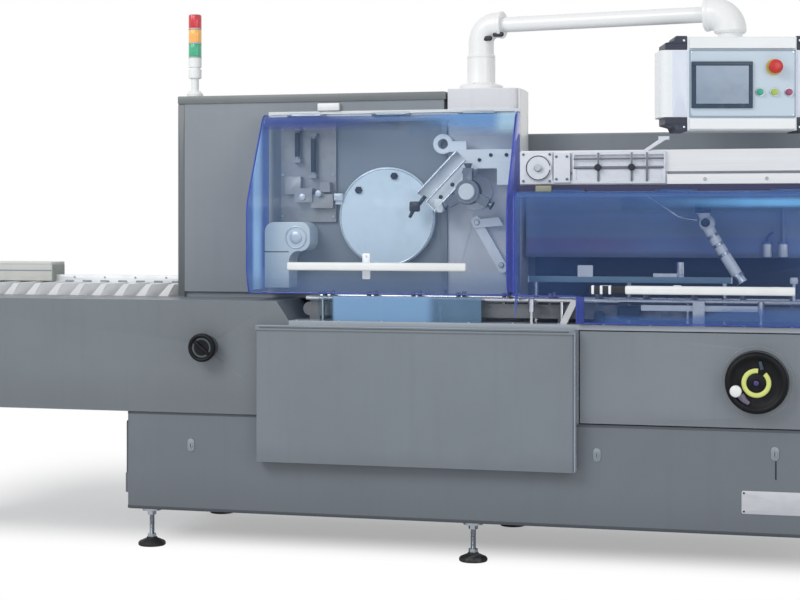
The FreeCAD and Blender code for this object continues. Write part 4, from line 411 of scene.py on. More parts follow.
LOW_GREY = rgb(111, 118, 125)
body_grey = edged("body_grey", rgb(127, 134, 141), low=(0.49, 0.56))
infeed_grey = edged("infeed_grey", rgb(117, 124, 130), low=(0.52, 0.66))
lower_grey = edged("lower_grey", LOW_GREY, times(LOW_GREY, 0.9), low=(0.14, 0.3))
cabinet_grey = edged("cabinet_grey", rgb(136, 143, 150))
cover_grey = edged("cover_grey", rgb(130, 138, 145), rough=0.38, low=(0.33, 0.4))
cover_box_paint = paint("cover_box_paint", rgb(205, 206, 202))
# Painted light: the cover box's lid is painted lighter than its body, as lit from above.
cover_top_painted_light = paint("cover_top_painted_light", rgb(216, 220, 214), dirt=0.08)
pillar_paint = edged("pillar_paint", rgb(218, 219, 224), rgb(214, 215, 220), rough=0.35)
enamel = edged("enamel", rgb(244, 245, 245), rgb(228, 229, 232), 0.3, rough=0.28, drift=0.015, dirt=0.07, peel=0.05)
box_enamel = edged("box_enamel", rgb(240, 244, 246), rgb(224, 229, 234), 0.3, rough=0.3, drift=0.015, dirt=0.06,
                   peel=0.05)
face_grey = paint("face_grey", rgb(198, 215, 228), rough=0.32, drift=0.02, dirt=0.06)
drive_pale = edged("drive_pale", rgb(228, 236, 236), rgb(226, 234, 234), rough=0.3, dirt=0.14)


def painted_bands(name, bands, rough=0.35, soft=0.006, turn=(0.66, 0.90)):
    """Painted reflections and shade: tone that changes with height, in levels from the top down, each with a colour,
    or with one colour for the left and one for the right. Slow noise blurs the edges of the painted bands."""
    coat = Finish(name)
    level = coat.along("z") + (coat.noise(5, 3, (0.5, 1, 3)) - 0.5) * 0.03
    aside = coat.step(coat.along("x") + (coat.noise(4, 2) - 0.5) * 0.2, *turn)
    tone = bands[0][1]
    for height, *colours in bands[1:]:
        tone = coat.mix(coat.step(level, height - soft, height + soft), coat.mix(aside, colours[0], colours[-1]), tone)
    streak = coat.step(coat.noise(1.0, 4, (2.2, 2.2, 40)), 0.46, 0.7)
    coat["Base Color"] = coat.mix(streak * 0.16, tone, times(bands[0][1], 1.25))
    coat["Roughness"] = streak * 0.12 + rough
    coat["Normal"] = coat.bump(coat.noise(300, 2), 0.0005, 0.1)
    return coat.material


# Painted reflections: the inner guard's bands of blue and lilac stand for the hood reflected across it.
guard_painted_reflections = painted_bands("guard_painted_reflections", [(1.3, rgb(122, 138, 152)), (1.190, rgb(128, 150, 186)),
                                             (1.108, rgb(126, 122, 172), rgb(118, 140, 190)),
                                             (1.052, rgb(96, 104, 132))], soft=0.010)
# Painted shade: dark navy bands for the shaded space below the inner guard.
painted_shade_lining = painted_bands("painted_shade_lining", [(1.1, rgb(62, 68, 96)), (0.985, rgb(50, 58, 76)), (0.900, rgb(72, 84, 100))], 0.5, 0.02)
print(len(bpy.data.materials), "painted finishes")


# %% [markdown]
# ## Bare metal, plastic and rubber
# Stainless sheet is brushed one way, so its noise is stretched along the brushing. Cast and machined
# aluminium have a fine even grain. Moulded parts are smoother, with a pebbled skin.
# %% Metals
def brushed(name, colour, way="x", rough=0.3, metal=0.9, dirt=0.15):
    """Lines = noise drawn out two hundred times along one axis; they shift the tone, gloss and bump."""
    coat = Finish(name)
    stretch = tuple(3.0 if axis == way else 600.0 for axis in "xyz")
    lines, wide = coat.noise(1.0, 3, stretch), coat.noise(1.0, 2, tuple(v * 0.12 for v in stretch))
    smear = coat.step(coat.noise(11, 5), 0.48, 0.72)
    tone = coat.mix(lines, times(colour, 0.86), times(colour, 1.12))
    tone = coat.mix(wide * 0.35, tone, times(colour, 0.8))
    coat["Base Color"] = coat.mix(smear * dirt, tone, times(colour, 0.55))
    coat["Metallic"] = metal
    coat["Roughness"] = lines * 0.14 + smear * 0.12 + rough
    coat["Normal"] = coat.bump(lines, 0.0003, 0.12)
    return coat.material


def grained(name, colour, rough=0.4, metal=0.85, grain=320, dirt=0.2):
    """Cast or bead-blasted metal: cells give the grain, slow noise the handling marks."""
    coat = Finish(name)
    cell, smear = coat.cells(grain), coat.step(coat.noise(24, 4), 0.46, 0.7)
    coat["Base Color"] = coat.mix(smear * dirt, coat.mix(cell, times(colour, 0.92), times(colour, 1.06)),
                                  times(colour, 0.5))
    coat["Metallic"] = metal
    coat["Roughness"] = smear * 0.14 + cell * 0.06 + rough
    coat["Normal"] = coat.bump(cell, 0.0005, 0.15)
    return coat.material


def moulded(name, colour, rough=0.35, pebble=500, depth=0.12, dust=0.1, gloss=0.5):
    """Plastic or rubber: a pebbled skin with a little dust and a few shiny handled patches."""
    coat = Finish(name)
    skin, worn = coat.cells(pebble), coat.step(coat.noise(30, 4), 0.5, 0.7)
    coat["Base Color"] = coat.mix(worn * dust, coat.mix(coat.noise(8, 3), times(colour, 0.9), times(colour, 1.1)),
                                  (0.35, 0.35, 0.36, 1))
    coat["Roughness"] = worn * 0.12 + skin * 0.08 + rough
    coat["Specular IOR Level"] = gloss
    coat["Normal"] = coat.bump(skin, 0.0004, depth)
    return coat.material


stainless = brushed("stainless", rgb(205, 209, 213))
# Painted reflection: the deck's steel is tinted blue for the blue hood reflected in it.
deck_steel = brushed("deck_steel", rgb(140, 148, 160), rough=0.45, metal=0.35, dirt=0.3)
guide_sheet = brushed("guide_sheet", rgb(236, 239, 242), rough=0.4, metal=0.3, dirt=0.06)
strip_pale = brushed("strip_pale", rgb(240, 242, 246), rough=0.34, metal=0.4, dirt=0.05)
beam_steel = brushed("beam_steel", rgb(226, 228, 232), rough=0.36, metal=0.7, dirt=0.08)
rod_steel = brushed("rod_steel", rgb(214, 217, 222), rough=0.16, metal=1.0, dirt=0.05)
chute_steel = brushed("chute_steel", rgb(238, 243, 250), rough=0.34, metal=0.35, dirt=0.1)
disc_steel = grained("disc_steel", rgb(228, 242, 252), rough=0.42, metal=0.15, grain=260, dirt=0.08)
feeder_metal = grained("feeder_metal", rgb(120, 126, 136), rough=0.35, metal=0.6)
guide_metal = grained("guide_metal", rgb(238, 242, 248), rough=0.38, metal=0.2, dirt=0.12)
slide_metal = grained("slide_metal", rgb(158, 158, 158), rough=0.4, metal=0.4)
carriage_metal = grained("carriage_metal", rgb(212, 217, 226), rough=0.38, metal=0.5, dirt=0.14)
chain_metal = grained("chain_metal", rgb(120, 124, 130), rough=0.32, metal=0.9, dirt=0.5)
nozzle_metal = grained("nozzle_metal", rgb(246, 250, 254), rough=0.34, metal=0.1, dirt=0.1)
pale_metal = grained("pale_metal", rgb(244, 248, 250), rough=0.34, metal=0.15, dirt=0.1)
dark_metal = grained("dark_metal", rgb(52, 55, 62), rough=0.42, metal=0.6)
bolt_metal = grained("bolt_metal", rgb(190, 196, 204), rough=0.24, metal=0.95, grain=900, dirt=0.25)
track_metal = brushed("track_metal", rgb(176, 180, 186), rough=0.3)

# %% Plastics and rubber
black_plastic = moulded("black_plastic", rgb(12, 13, 18), rough=0.46, dust=0.02, gloss=0.22)
navy_plastic = moulded("navy_plastic", rgb(38, 46, 66), rough=0.4)
white_plastic = moulded("white_plastic", rgb(240, 242, 242), rough=0.38, pebble=700, dust=0.06)
grip_white = moulded("grip_white", rgb(238, 240, 240), rough=0.34, pebble=900, dust=0.04)
flight_white = moulded("flight_white", rgb(252, 253, 255), rough=0.36, pebble=700, dust=0.03)
slate_plastic = moulded("slate_plastic", rgb(52, 70, 90), rough=0.42, gloss=0.3)
rubber = moulded("rubber", rgb(30, 31, 33), rough=0.62, pebble=350, depth=0.25, dust=0.2)
belt_rubber = moulded("belt_rubber", rgb(58, 64, 66), rough=0.6, pebble=240, depth=0.3)
index_yellow = moulded("index_yellow", rgb(218, 226, 128), rough=0.3, dust=0.05)
latch_grey = grained("latch_grey", rgb(150, 158, 166), rough=0.34, metal=0.5, dirt=0.15)


def shaded_ring(name, shaded_tone, lit_tone, centre, rough=0.32):
    """A metal ring with painted shade and highlight: darker at its lower left and lighter at its upper right."""
    coat = Finish(name)
    side = (coat.along("x") - centre[0]) + (coat.along("z") - centre[1])
    coat["Base Color"] = coat.mix(coat.step(side + (coat.noise(30, 3) - 0.5) * 0.05, -0.08, 0.14), shaded_tone, lit_tone)
    coat["Metallic"] = 0.3
    coat["Roughness"] = coat.noise(60, 3) * 0.15 + rough
    coat["Normal"] = coat.bump(coat.noise(400, 2), 0.0004, 0.1)
    return coat.material


# Painted shade and highlight: the ring behind the main handwheel is darker at its lower left and lighter at its upper
# right.
pale_ring = shaded_ring("pale_ring", rgb(122, 130, 140), rgb(196, 204, 218), (1.257, 0.642))
stop_red = moulded("stop_red", rgb(206, 46, 44), rough=0.25, dust=0.03)
cap_green = moulded("cap_green", rgb(38, 160, 136), rough=0.22, dust=0.02)
cap_lime = moulded("cap_lime", rgb(164, 192, 84), rough=0.22, dust=0.02)
cap_rose = moulded("cap_rose", rgb(150, 60, 100), rough=0.22, dust=0.02)
hose_blue = moulded("hose_blue", rgb(60, 110, 190), rough=0.3, dust=0.04)
print(len(bpy.data.materials), "finishes so far")

# %% [markdown]
# ## Clear blue guards
# The hoods are tinted clear sheet. What matters is that one sees through them, that they add some blue of
# their own, and that their surface is glossy and a little scuffed. A see-through shader with the tint is
# mixed with a glossy blue one; the share of gloss follows the viewing angle, as on any clear sheet.
# %% Tinted clear sheet and coloured lenses
DEEP_FROM = (0.05, 0.60)      # the painted light share at which the deep painted colour starts and is full


def clear_sheet(name, tint, body, share, rough=0.08, painted_light=None, deep=None, glow=0.0, where=None):
    """Share of the glossy part = a floor + Fresnel + scuffs and smudges + the painted light, a formula of the place
    that paints highlights, reflections and shade onto the sheet. The deep colour of the painted light comes in with
    it, or by its own formula; the glow is a painted glow, a faint emission that stands for light caught in the sheet."""
    coat = Finish(name)
    painted_share = painted_light(coat) if painted_light else 0.0
    smudge = coat.step(coat.noise(5.5, 5, (1, 1, 0.5)), 0.5, 0.75)
    scratch = coat.step(coat.noise(1.0, 3, (260, 260, 7)), 0.66, 0.74)
    tone = coat.mix(coat.noise(2.2, 3), times(body, 0.88), times(body, 1.12))
    if deep:
        tone = coat.mix(where(coat) if where else coat.step(painted_share, *DEEP_FROM), tone, deep)
    coat["Base Color"] = tone
    if glow:
        coat["Emission Color"] = tone
        coat["Emission Strength"] = glow
    coat["Roughness"] = smudge * 0.18 + scratch * 0.2 + rough
    coat["Normal"] = coat.bump(coat.noise(3.4, 2), 0.01, 0.08)
    see = coat.node("ShaderNodeBsdfTransparent", None, {"Color": tint})
    edge = coat.node("ShaderNodeFresnel", None, {"IOR": 1.45})
    mixed = coat.node("ShaderNodeMixShader", None,
                      {0: edge * 0.5 + smudge * 0.05 + scratch * 0.04 + painted_share + share, 1: see,
                       2: Reading(coat, coat.shader.outputs[0])})
    coat.fill(coat.tree.nodes["Material Output"].inputs["Surface"], mixed)
    return coat.material


# Painted shade: the left sheet turns deeper navy along its lower edge.
left_sheet = clear_sheet("left_sheet", (0.965, 0.984, 0.998, 1), rgb(138, 172, 218), 0.035,
                         painted_light=lambda coat: coat.step(coat.along("z"), 0.930, 1.015, 0.24, 0.0), deep=rgb(20, 40, 130))


def right_painted_sheen(coat):
    """Painted highlight, denser towards the upper bend and along the lower edge, and higher up the further right it is.
    """
    rise = coat.step(coat.along("x"), 1.02, 1.20, 0.0, 0.030)
    return (coat.step(coat.along("z"), 1.12, 1.26, 0.0, 0.20)
            + coat.step(coat.along("z") - rise, 0.834, 0.858, 0.24, 0.0) * coat.step(coat.along("x"), 0.72, 0.80))


right_sheet = clear_sheet("right_sheet", (0.945, 0.965, 0.992, 1), rgb(92, 134, 204), 0.06, painted_light=right_painted_sheen)


def low_painted_reflection(coat):
    """Painted sky reflection: nearly clear at its left end, then pale, then half as dense."""
    place = coat.along("x")
    return (coat.step(place, -0.192, -0.176) - coat.step(place, 0.140, 0.185) * 0.45) * 0.62


# Painted reflection: the low guard carries a pale sky-blue band, stronger on its left half.
low_sheet = clear_sheet("low_sheet", (0.90, 0.94, 0.96, 1), rgb(84, 116, 138), 0.08, painted_light=low_painted_reflection, deep=rgb(146, 188, 230))
# Painted glow: the hood beads give off a faint light of their own.
painted_edge_glow = clear_sheet("painted_edge_glow", (0.6, 0.68, 0.97, 1), rgb(74, 92, 196), 0.6, glow=0.08)
rail_navy = paint("rail_navy", rgb(58, 60, 96), rough=0.45)
# Painted glow: the screen's colour gets lighter towards its top.
screen_glass = Finish("screen_glass")
screen_low, screen_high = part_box("touch_screen")
glow = screen_glass.step(screen_glass.along("z"), screen_low[2], screen_high[2])
screen_glass["Base Color"] = screen_glass.mix(glow, rgb(104, 128, 152), rgb(124, 146, 170))
screen_glass["Roughness"] = screen_glass.step(screen_glass.noise(40, 4), 0.45, 0.7) * 0.15 + 0.12
screen_glass["Coat Weight"] = 0.6
screen_glass = screen_glass.material


def lens(name, colour):
    """A lamp lens with a faint painted glow, an emission that stands for light caught inside."""
    coat = Finish(name)
    coat["Base Color"] = coat.mix(coat.noise(60, 2), times(colour, 0.9), times(colour, 1.1))
    coat["Roughness"] = coat.noise(200, 2) * 0.1 + 0.14
    coat["Coat Weight"] = 0.5
    coat["Emission Color"] = coat.mix(coat.noise(30, 2), times(colour, 0.5), colour)
    coat["Emission Strength"] = 0.12
    return coat.material


lens_red, lens_amber, lens_green = (lens("lens_red", rgb(205, 40, 55)), lens("lens_amber", rgb(250, 180, 90)),
                                    lens("lens_green", rgb(60, 170, 130)))

# %% [markdown]
# ## Camera, floor and light
# The photo was taken a little right of the machine's middle, at chest height, and turned 14.55 degrees to
# the left, with the lens shifted down. The floor is pale and fades into white, and the light is one big soft
# source over the left shoulder with a weak one from the right.
# %% Camera
camera = bpy.data.objects.new("camera", bpy.data.cameras.new("camera"))
camera.location = (1.547, -6.126, 1.160)
camera.rotation_euler = (math.radians(90), 0, math.radians(14.55))
camera.data.lens, camera.data.sensor_width = 77.94, 36
camera.data.shift_y = -0.0975
bpy.context.scene.collection.objects.link(camera)
bpy.context.scene.camera = camera
bpy.context.scene.view_settings.view_transform = "Standard"

# %% Floor and backdrop
FLOOR_REACH = 26.0
floor_mesh = bpy.data.meshes.new("floor")
ring = np.arange(64) * 2 * np.pi / 64
floor_mesh.from_pydata([(FLOOR_REACH * math.cos(a), FLOOR_REACH * math.sin(a), 0) for a in ring], [], [list(range(64))])
floor = bpy.data.objects.new("floor", floor_mesh)
bpy.context.scene.collection.objects.link(floor)
floor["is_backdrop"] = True

ground = Finish("pale_floor")
ground["Base Color"] = ground.mix(ground.noise(3, 4), (0.84, 0.84, 0.85, 1), (0.88, 0.88, 0.88, 1))
ground["Roughness"] = 0.9
ground["Specular IOR Level"] = 0.1
across = ground.along("x") / 2.4
behind = ground.step(ground.along("y"), -0.44, 0.05) * ground.step(ground.along("y"), 0.7, 2.2, 1.0, 0.0)
far = behind * ground.step(across * across, 0.45, 1.0, -1.0, 0.0) + 1.0
rays = ground.tree.nodes.new("ShaderNodeLightPath")
seen = ground.node("ShaderNodeMath", {"operation": "MAXIMUM"},
                   (Reading(ground, rays.outputs["Is Camera Ray"]), Reading(ground, rays.outputs["Is Transmission Ray"])))
white = ground.node("ShaderNodeEmission", None, {"Color": (1, 1, 1, 1), "Strength": 1.0})
mixed = ground.node("ShaderNodeMixShader", None,
                    {0: seen * (far * 0.62 + 0.38), 1: Reading(ground, ground.shader.outputs[0]), 2: white})
ground.fill(ground.tree.nodes["Material Output"].inputs["Surface"], mixed)
floor_mesh.materials.append(ground.material)

world = bpy.data.worlds.new("studio")
world.use_nodes = True
bpy.context.scene.world = world
sky = world.node_tree
dim, bright = sky.nodes["Background"], sky.nodes.new("ShaderNodeBackground")
dim.inputs["Color"].default_value, dim.inputs["Strength"].default_value = (0.96, 0.98, 1.0, 1), 0.53
bright.inputs["Color"].default_value, bright.inputs["Strength"].default_value = (1, 1, 1, 1), 1.0
path, blend = sky.nodes.new("ShaderNodeLightPath"), sky.nodes.new("ShaderNodeMixShader")
either = [sky.nodes.new("ShaderNodeMath") for _ in range(2)]
for gate, rays in zip(either, (("Is Camera Ray", "Is Glossy Ray"), (None, "Is Transmission Ray"))):
    gate.operation = "MAXIMUM"
    sky.links.new(path.outputs[rays[0]] if rays[0] else either[0].outputs[0], gate.inputs[0])
    sky.links.new(path.outputs[rays[1]], gate.inputs[1])
sky.links.new(either[1].outputs[0], blend.inputs[0])
sky.links.new(dim.outputs[0], blend.inputs[1])
sky.links.new(bright.outputs[0], blend.inputs[2])
sky.links.new(blend.outputs[0], sky.nodes["World Output"].inputs["Surface"])


# %% Studio light
def soft_light(name, place, aim, size, power):
    """A flat lamp of the given size at a place, with its face turned to the aim."""
    lamp = bpy.data.lights.new(name, "AREA")
    lamp.shape, lamp.size, lamp.size_y, lamp.energy = "RECTANGLE", size[0], size[1], power
    holder = bpy.data.objects.new(name, lamp)
    holder.location = place
    way = np.array(aim, float) - np.array(place, float)
    turn = axes_for(-way)
    holder.rotation_mode = "QUATERNION"
    holder.rotation_quaternion = Matrix(turn.T.tolist()).to_quaternion()
    bpy.context.scene.collection.objects.link(holder)


soft_light("key", (-2.6, -4.6, 4.4), (0, 0, 0.8), (3.2, 2.4), 150)
soft_light("fill", (4.2, -4.4, 2.4), (0.4, 0, 0.8), (2.6, 2.6), 48)

# %% [markdown]
# ## The housings
# The solids stay as they are in size and place. Each painted or machined one gets a copy with rounded
# edges in its own finish.
# %% Rounded edges on the solids
DRESSED = {
    "base_frame": (lower_grey, 0.003), "infeed_housing": (infeed_grey, 0.003), "upper_body": (body_grey, 0.003),
    "right_panel": (body_grey, 0.0015), "front_cover": (cover_grey, 0.002), "rear_cabinet": (cabinet_grey, 0.003),
    "rear_housing": (cabinet_grey, 0.003), "arm_pillar": (pillar_paint, 0.002), "deck_plate": (deck_steel, 0.001),
    "inner_guard": (guard_painted_reflections, 0.001),
    "infeed_leg": (lower_grey, 0.0015), "infeed_track": (track_metal, 0.0008), "infeed_chain": (flight_white, 0.0012),
    "magazine_beam": (beam_steel, 0.0012), "magazine_rails": (strip_pale, 0.001), "magazine_carriage": (carriage_metal, 0.001),
    "magazine_chute": (chute_steel, 0.001), "feeder_disc": (disc_steel, 0.0012), "rotary_feeder": (feeder_metal, 0.001),
    "guide_arm": (guide_metal, 0.001), "slide_unit": (slide_metal, 0.001), "drive_housing": (drive_pale, 0.003),
    "product_rail": (rod_steel, 0.001), "carton_chain": (chain_metal, 0.0008), "carton_rails": (rod_steel, 0.0005),
    "nozzle_arm": (nozzle_metal, 0.0008), "outfeed_frame": (stainless, 0.001), "outfeed_belt": (belt_rubber, 0.0006),
    "control_box": (box_enamel, 0.002), "box_caps": (navy_plastic, 0.0015), "control_panel": (face_grey, 0.001),
    "screen_bezel": (slate_plastic, 0.0015), "touch_screen": (screen_glass, 0.0004), "pendant_post": (enamel, 0.0015),
    "left_hood_rail": (stainless, 0.0008), "right_hood_rail": (rail_navy, 0.0008),
}
for node, (finish, width) in DRESSED.items():
    softened(node, finish, width)

# %% Finishes straight on the solids
STRAIGHT = {"left_hood": left_sheet, "right_hood": right_sheet, "low_guard": low_sheet, "signal_pole": white_plastic}
for node, finish in STRAIGHT.items():
    mesh = frame["nodes"][node].data
    mesh.materials.clear()
    mesh.materials.append(finish)
    mesh.shade_smooth()
    mesh.set_sharp_from_angle(angle=math.radians(30))

# %% [markdown]
# ## Small shapes used again and again
# Screws, nuts and rings turn up on every cover of a machine. Each is one short profile, so they are worked
# out once and copied along a line of places.
# %% Screws, nuts, rings and rows
def screw(radius=0.005, height=0.004):
    """A socket head turned round z: rounded rim, flat face and a drilled recess."""
    return turned([(radius, -0.0005), (radius, height * 0.7), (radius * 0.86, height), (radius * 0.5, height),
                   (radius * 0.44, height * 0.35)], 14)


def hexagon(radius, depth):
    """A nut: a six-sided outline with a small chamfer."""
    angle = np.arange(6) * np.pi / 3
    return plate(radius * np.stack([np.cos(angle), np.sin(angle)], -1), depth, depth * 0.12, 1)


def hoop(radius, thick, flat=1.0, sides=64, around=10):
    """A ring: a small circle carried round a large one. A point is (R + r cos b) outwards and r sin b upwards,
    where the second is scaled to make the ring flat."""
    a, b = np.arange(sides)[:, None] * 2 * np.pi / sides, np.arange(around)[None] * 2 * np.pi / around
    reach = radius + thick * np.cos(b)
    points = np.stack([reach * np.cos(a), reach * np.sin(a), thick * flat * np.sin(b) + 0 * a], -1)
    index = np.arange(sides * around).reshape(sides, around)
    quads = np.stack([index, np.roll(index, -1, 1), np.roll(index, (-1, -1), (0, 1)), np.roll(index, -1, 0)], -1)
    return points.reshape(-1, 3), quads.reshape(-1, 4)


def fluted(radius, low, high, ribs=24):
    """A ribbed cylinder with a rounded rim: the radius drops by a thirtieth between the ribs."""
    angle = np.arange(ribs * 4) * 2 * np.pi / (ribs * 4)
    ribbed = radius * (1 - 0.035 * (0.5 - 0.5 * np.cos(ribs * angle)))
    height = np.array([low, low, low + 0.002, high - 0.004, high - 0.001, high])
    share = np.array([0.9, 0.98, 1, 1, 0.96, 0.86])
    reach = share[:, None] * ribbed[None]
    rows = [reach * np.cos(angle), reach * np.sin(angle), np.broadcast_to(height[:, None], reach.shape)]
    return grid(np.stack(rows, -1))


def row(first, last, count):
    """Evenly spaced places from one point to another."""
    return np.linspace(first, last, count)


def studs(places, axis, radius=0.005, height=0.004):
    """A screw head at each place, with its face along the axis."""
    return copies(put(screw(radius, height), (0, 0, 0), axis), places)


# %% [markdown]
# ## Feet
# The machine stands on levelling feet: a domed rubber pad, a threaded stud, a lock nut and a plate under the
# base. The thread is a profile that goes in and out by half a millimetre at each pitch.
# %% Levelling feet
FOOT_X, PITCH = [-0.880, 0.300, 1.480], 0.0025
thread = np.arange(0.024, 0.112, PITCH / 2)
stud_profile = np.stack([0.0092 - 0.0009 * (np.arange(len(thread)) % 2), thread], -1)
for name, y in (("feet_front", -0.323), ("feet_rear", 0.397)):
    places = [(x, y, 0) for x in FOOT_X]
    pad = turned([(0.046, 0), (0.049, 0.003), (0.049, 0.010), (0.045, 0.015), (0.031, 0.021), (0.020, 0.026),
                  (0.017, 0.031)], 40)
    piece(name + "_pads", [copies(pad, places)], rubber, stands_for=[name])
    steel = [turned(stud_profile, 14), put(hexagon(0.0165, 0.012), (0, 0, 0.031)),
             put(hexagon(0.0165, 0.016), (0, 0, 0.110)), turned([(0.034, 0.126), (0.034, 0.138), (0.032, 0.140)])]
    piece(name + "_studs", [copies(together(steel), places)], bolt_metal, stands_for=[name])
print("feet at", FOOT_X)

# %% [markdown]
# ## Seams, lids and latches
# Where the upper housing sits on the base a dark strip of painted shadow runs round, the base has a dark kick strip,
# and the tall cabinet has a folded lid and a darker strip of painted shade down its left edge. Folded edges catch the
# light, so the deck and the front cover get a pale lip of painted highlight, with a thin line of painted shadow under
# the cover's lip and a pale strip of painted highlight on its right side. The base's access panels are held by
# latches, and a bare plate is riveted on.
# %% Strips and lids
shadow_gap = paint("shadow_gap", rgb(70, 75, 83), rough=0.6, peel=0.05)
# Painted shadow: this darker grey is the shade in the seam under the upper housing and under the cover's lip.
painted_shadow_grey = paint("painted_shadow_grey", rgb(86, 92, 100), rough=0.6, peel=0.05)
lid_grey = paint("lid_grey", rgb(116, 121, 123), rough=0.4)
piece("body_seam_shadow", [block((-0.9506, -0.3938, 0.4775), (1.5506, 0.4678, 0.4868), 0.0004, 0.022)], painted_shadow_grey)
# Painted highlight: the pale lips of the deck and the front cover stand for the light their folded edges catch.
lip_painted_highlight = paint("lip_painted_highlight", rgb(168, 176, 184), rough=0.36, dirt=0.1)
piece("deck_lip", [block((-0.3375, -0.4040, 0.8010), (1.5495, -0.4022, 0.8178), 0.0006, 0.001, "y"),
                   block((-0.3375, -0.4035, 0.8166), (1.5495, -0.2900, 0.8182), 0.0004, 0.001)], lip_painted_highlight)
piece("cover_lip", [block((-0.4445, -0.4490, 0.7990), (0.6665, -0.4035, 0.8024), 0.0008, 0.002)], lip_painted_highlight)
piece("cover_lip_shadow", [block((-0.4300, -0.4499, 0.7935), (0.6500, -0.4485, 0.7972), 0.0003, 0.001, "y")], painted_shadow_grey)
# Painted highlight: a pale strip on the right side face of the front cover.
piece("cover_side_light", [block((0.6665, -0.4480, 0.332), (0.6682, -0.4045, 0.7985), 0.0004, 0.001, "x")],
      paint("edge_light", rgb(186, 194, 206), rough=0.3))
piece("kick_strip", [block((-0.9508, -0.394, 0.1402), (1.5508, 0.468, 0.151), 0.001, 0.022)], shadow_gap)
piece("cabinet_lid", [block((-0.8478, -0.1598, 1.5945), (0.1638, 0.4778, 1.6222), 0.003, 0.004)], lid_grey)
# Painted shade: a darker strip down the left edge of the cabinet's front.
piece("cabinet_edge_shade", [block((-0.8477, -0.1538, 0.8865), (-0.8225, -0.1512, 1.594), 0.0006, 0.001, "y")],
      paint("edge_shade_grey", rgb(104, 109, 113)))
piece("hood_catch", [block((-0.306, -0.172, 1.5595), (-0.224, -0.1525, 1.587), 0.003, 0.004)], grip_white)

# %% Latches of the base
BASE_FRONT, BASE_REAR, FRONT_WALL, REAR_WALL = -0.393, 0.467, -0.403, 0.477      # y of the large walls
seats = [(x, BASE_FRONT + 0.0005, z) for x, z in ((-0.703, 0.373), (0.735, 0.386), (1.313, 0.409))]
plates = copies(put(plate(loop_of(0.026, 0.046, 0.013), 0.0035, 0.0012), (0, 0, 0), FRONT), seats)
keys = copies(put(turned([(0.0088, 0.003), (0.0088, 0.0062), (0.0076, 0.0074)], 28), (0, 0, 0), FRONT), seats)
piece("latch_plates", [plates, keys], latch_grey)
plate_metal = brushed("plate_metal", rgb(206, 208, 214), rough=0.4, metal=0.3)
piece("type_plate", [block((1.2070, -0.3948, 0.2110), (1.4650, -0.3925, 0.2860), 0.0006, 0.006, "y")], plate_metal)
rivets = [(x, -0.3946, z) for x in (1.2145, 1.4575) for z in (0.2185, 0.2785)]
piece("type_plate_rivets", [studs(rivets, FRONT, 0.0032, 0.0018)], dark_metal)
slots = copies(put(plate(loop_of(0.0022, 0.012, 0.001), 0.0082, 0.0003), (0, 0, 0), FRONT), seats)
drop = block((1.3135, -0.3936, 0.325), (1.3185, -0.392, 0.385), 0.0003, 0.001, "y")
piece("latch_slots", [slots, drop], dark_metal)

# %% [markdown]
# ## Handwheels
# The main handwheel turns the machine over by hand. It is moulded black, with a fat rim, a dished web, a
# pale index ring with a pointer and a white knob; a bare metal ring is let into the panel behind it. The
# profile of the whole wheel is one line turned round its shaft.
# %% Main handwheel
WHEEL, SMALL = (1.257, FRONT_WALL, 0.642), (-0.638, FRONT_WALL, 0.722)


def on_wheel(shape):
    """A shape made round z, moved to the main wheel's shaft."""
    return put(shape, WHEEL, FRONT, UP)


def wheel_piece(name, shape, finish, sharp=35):
    """A piece that turns with the main handwheel."""
    piece(name, [on_wheel(shape)], finish, "main_wheel", ["main_handwheel"], sharp)


def small_piece(name, shape, finish):
    """A piece that turns with the small handwheel."""
    piece(name, [put(shape, SMALL, FRONT)], finish, "small_wheel", ["small_handwheel"])


wheel = turned([(0.0138, -0.0175), (0.0138, 0.001), (0.0295, 0.001), (0.0295, 0.027), (0.060, 0.031), (0.080, 0.0325),
                (0.089, 0.0300), (0.0965, 0.0335), (0.0995, 0.040), (0.1000, 0.045), (0.0985, 0.051), (0.0945, 0.0555),
                (0.0890, 0.0575), (0.0830, 0.0558), (0.0785, 0.0505), (0.0720, 0.0465), (0.0580, 0.0450),
                (0.0300, 0.0445)], 96)
wheel_piece("main_wheel", wheel, black_plastic)
sweep = np.radians(np.linspace(82, 408, 72))
ring_path = np.stack([0.0395 * np.cos(sweep), 0.0395 * np.sin(sweep), 0 * sweep], -1)
ring_points, ring_quads = tube(ring_path, 0.0079, 12, (0, 0, 1))
ring_points = ring_points * (1, 1, 0.5) + (0, 0, 0.0475)
wheel_piece("index_ring", (ring_points, ring_quads), index_yellow, sharp=60)
pointer = plate(np.array([(-0.006, -0.014), (0.006, -0.014), (0.0045, 0.014), (-0.0045, 0.014)]), 0.006, 0.001)
pointer = put(pointer, (0.0150, 0.0570, 0.0450), (0, 0, 1), (-0.25, 1, 0))
wheel_piece("wheel_pointer", pointer, slate_plastic)
dome = turned([(0.0305, 0.044), (0.0300, 0.0475), (0.0230, 0.0500), (0.0120, 0.0515), (0.0105, 0.0535)], 48)
wheel_piece("wheel_dome", dome, black_plastic)
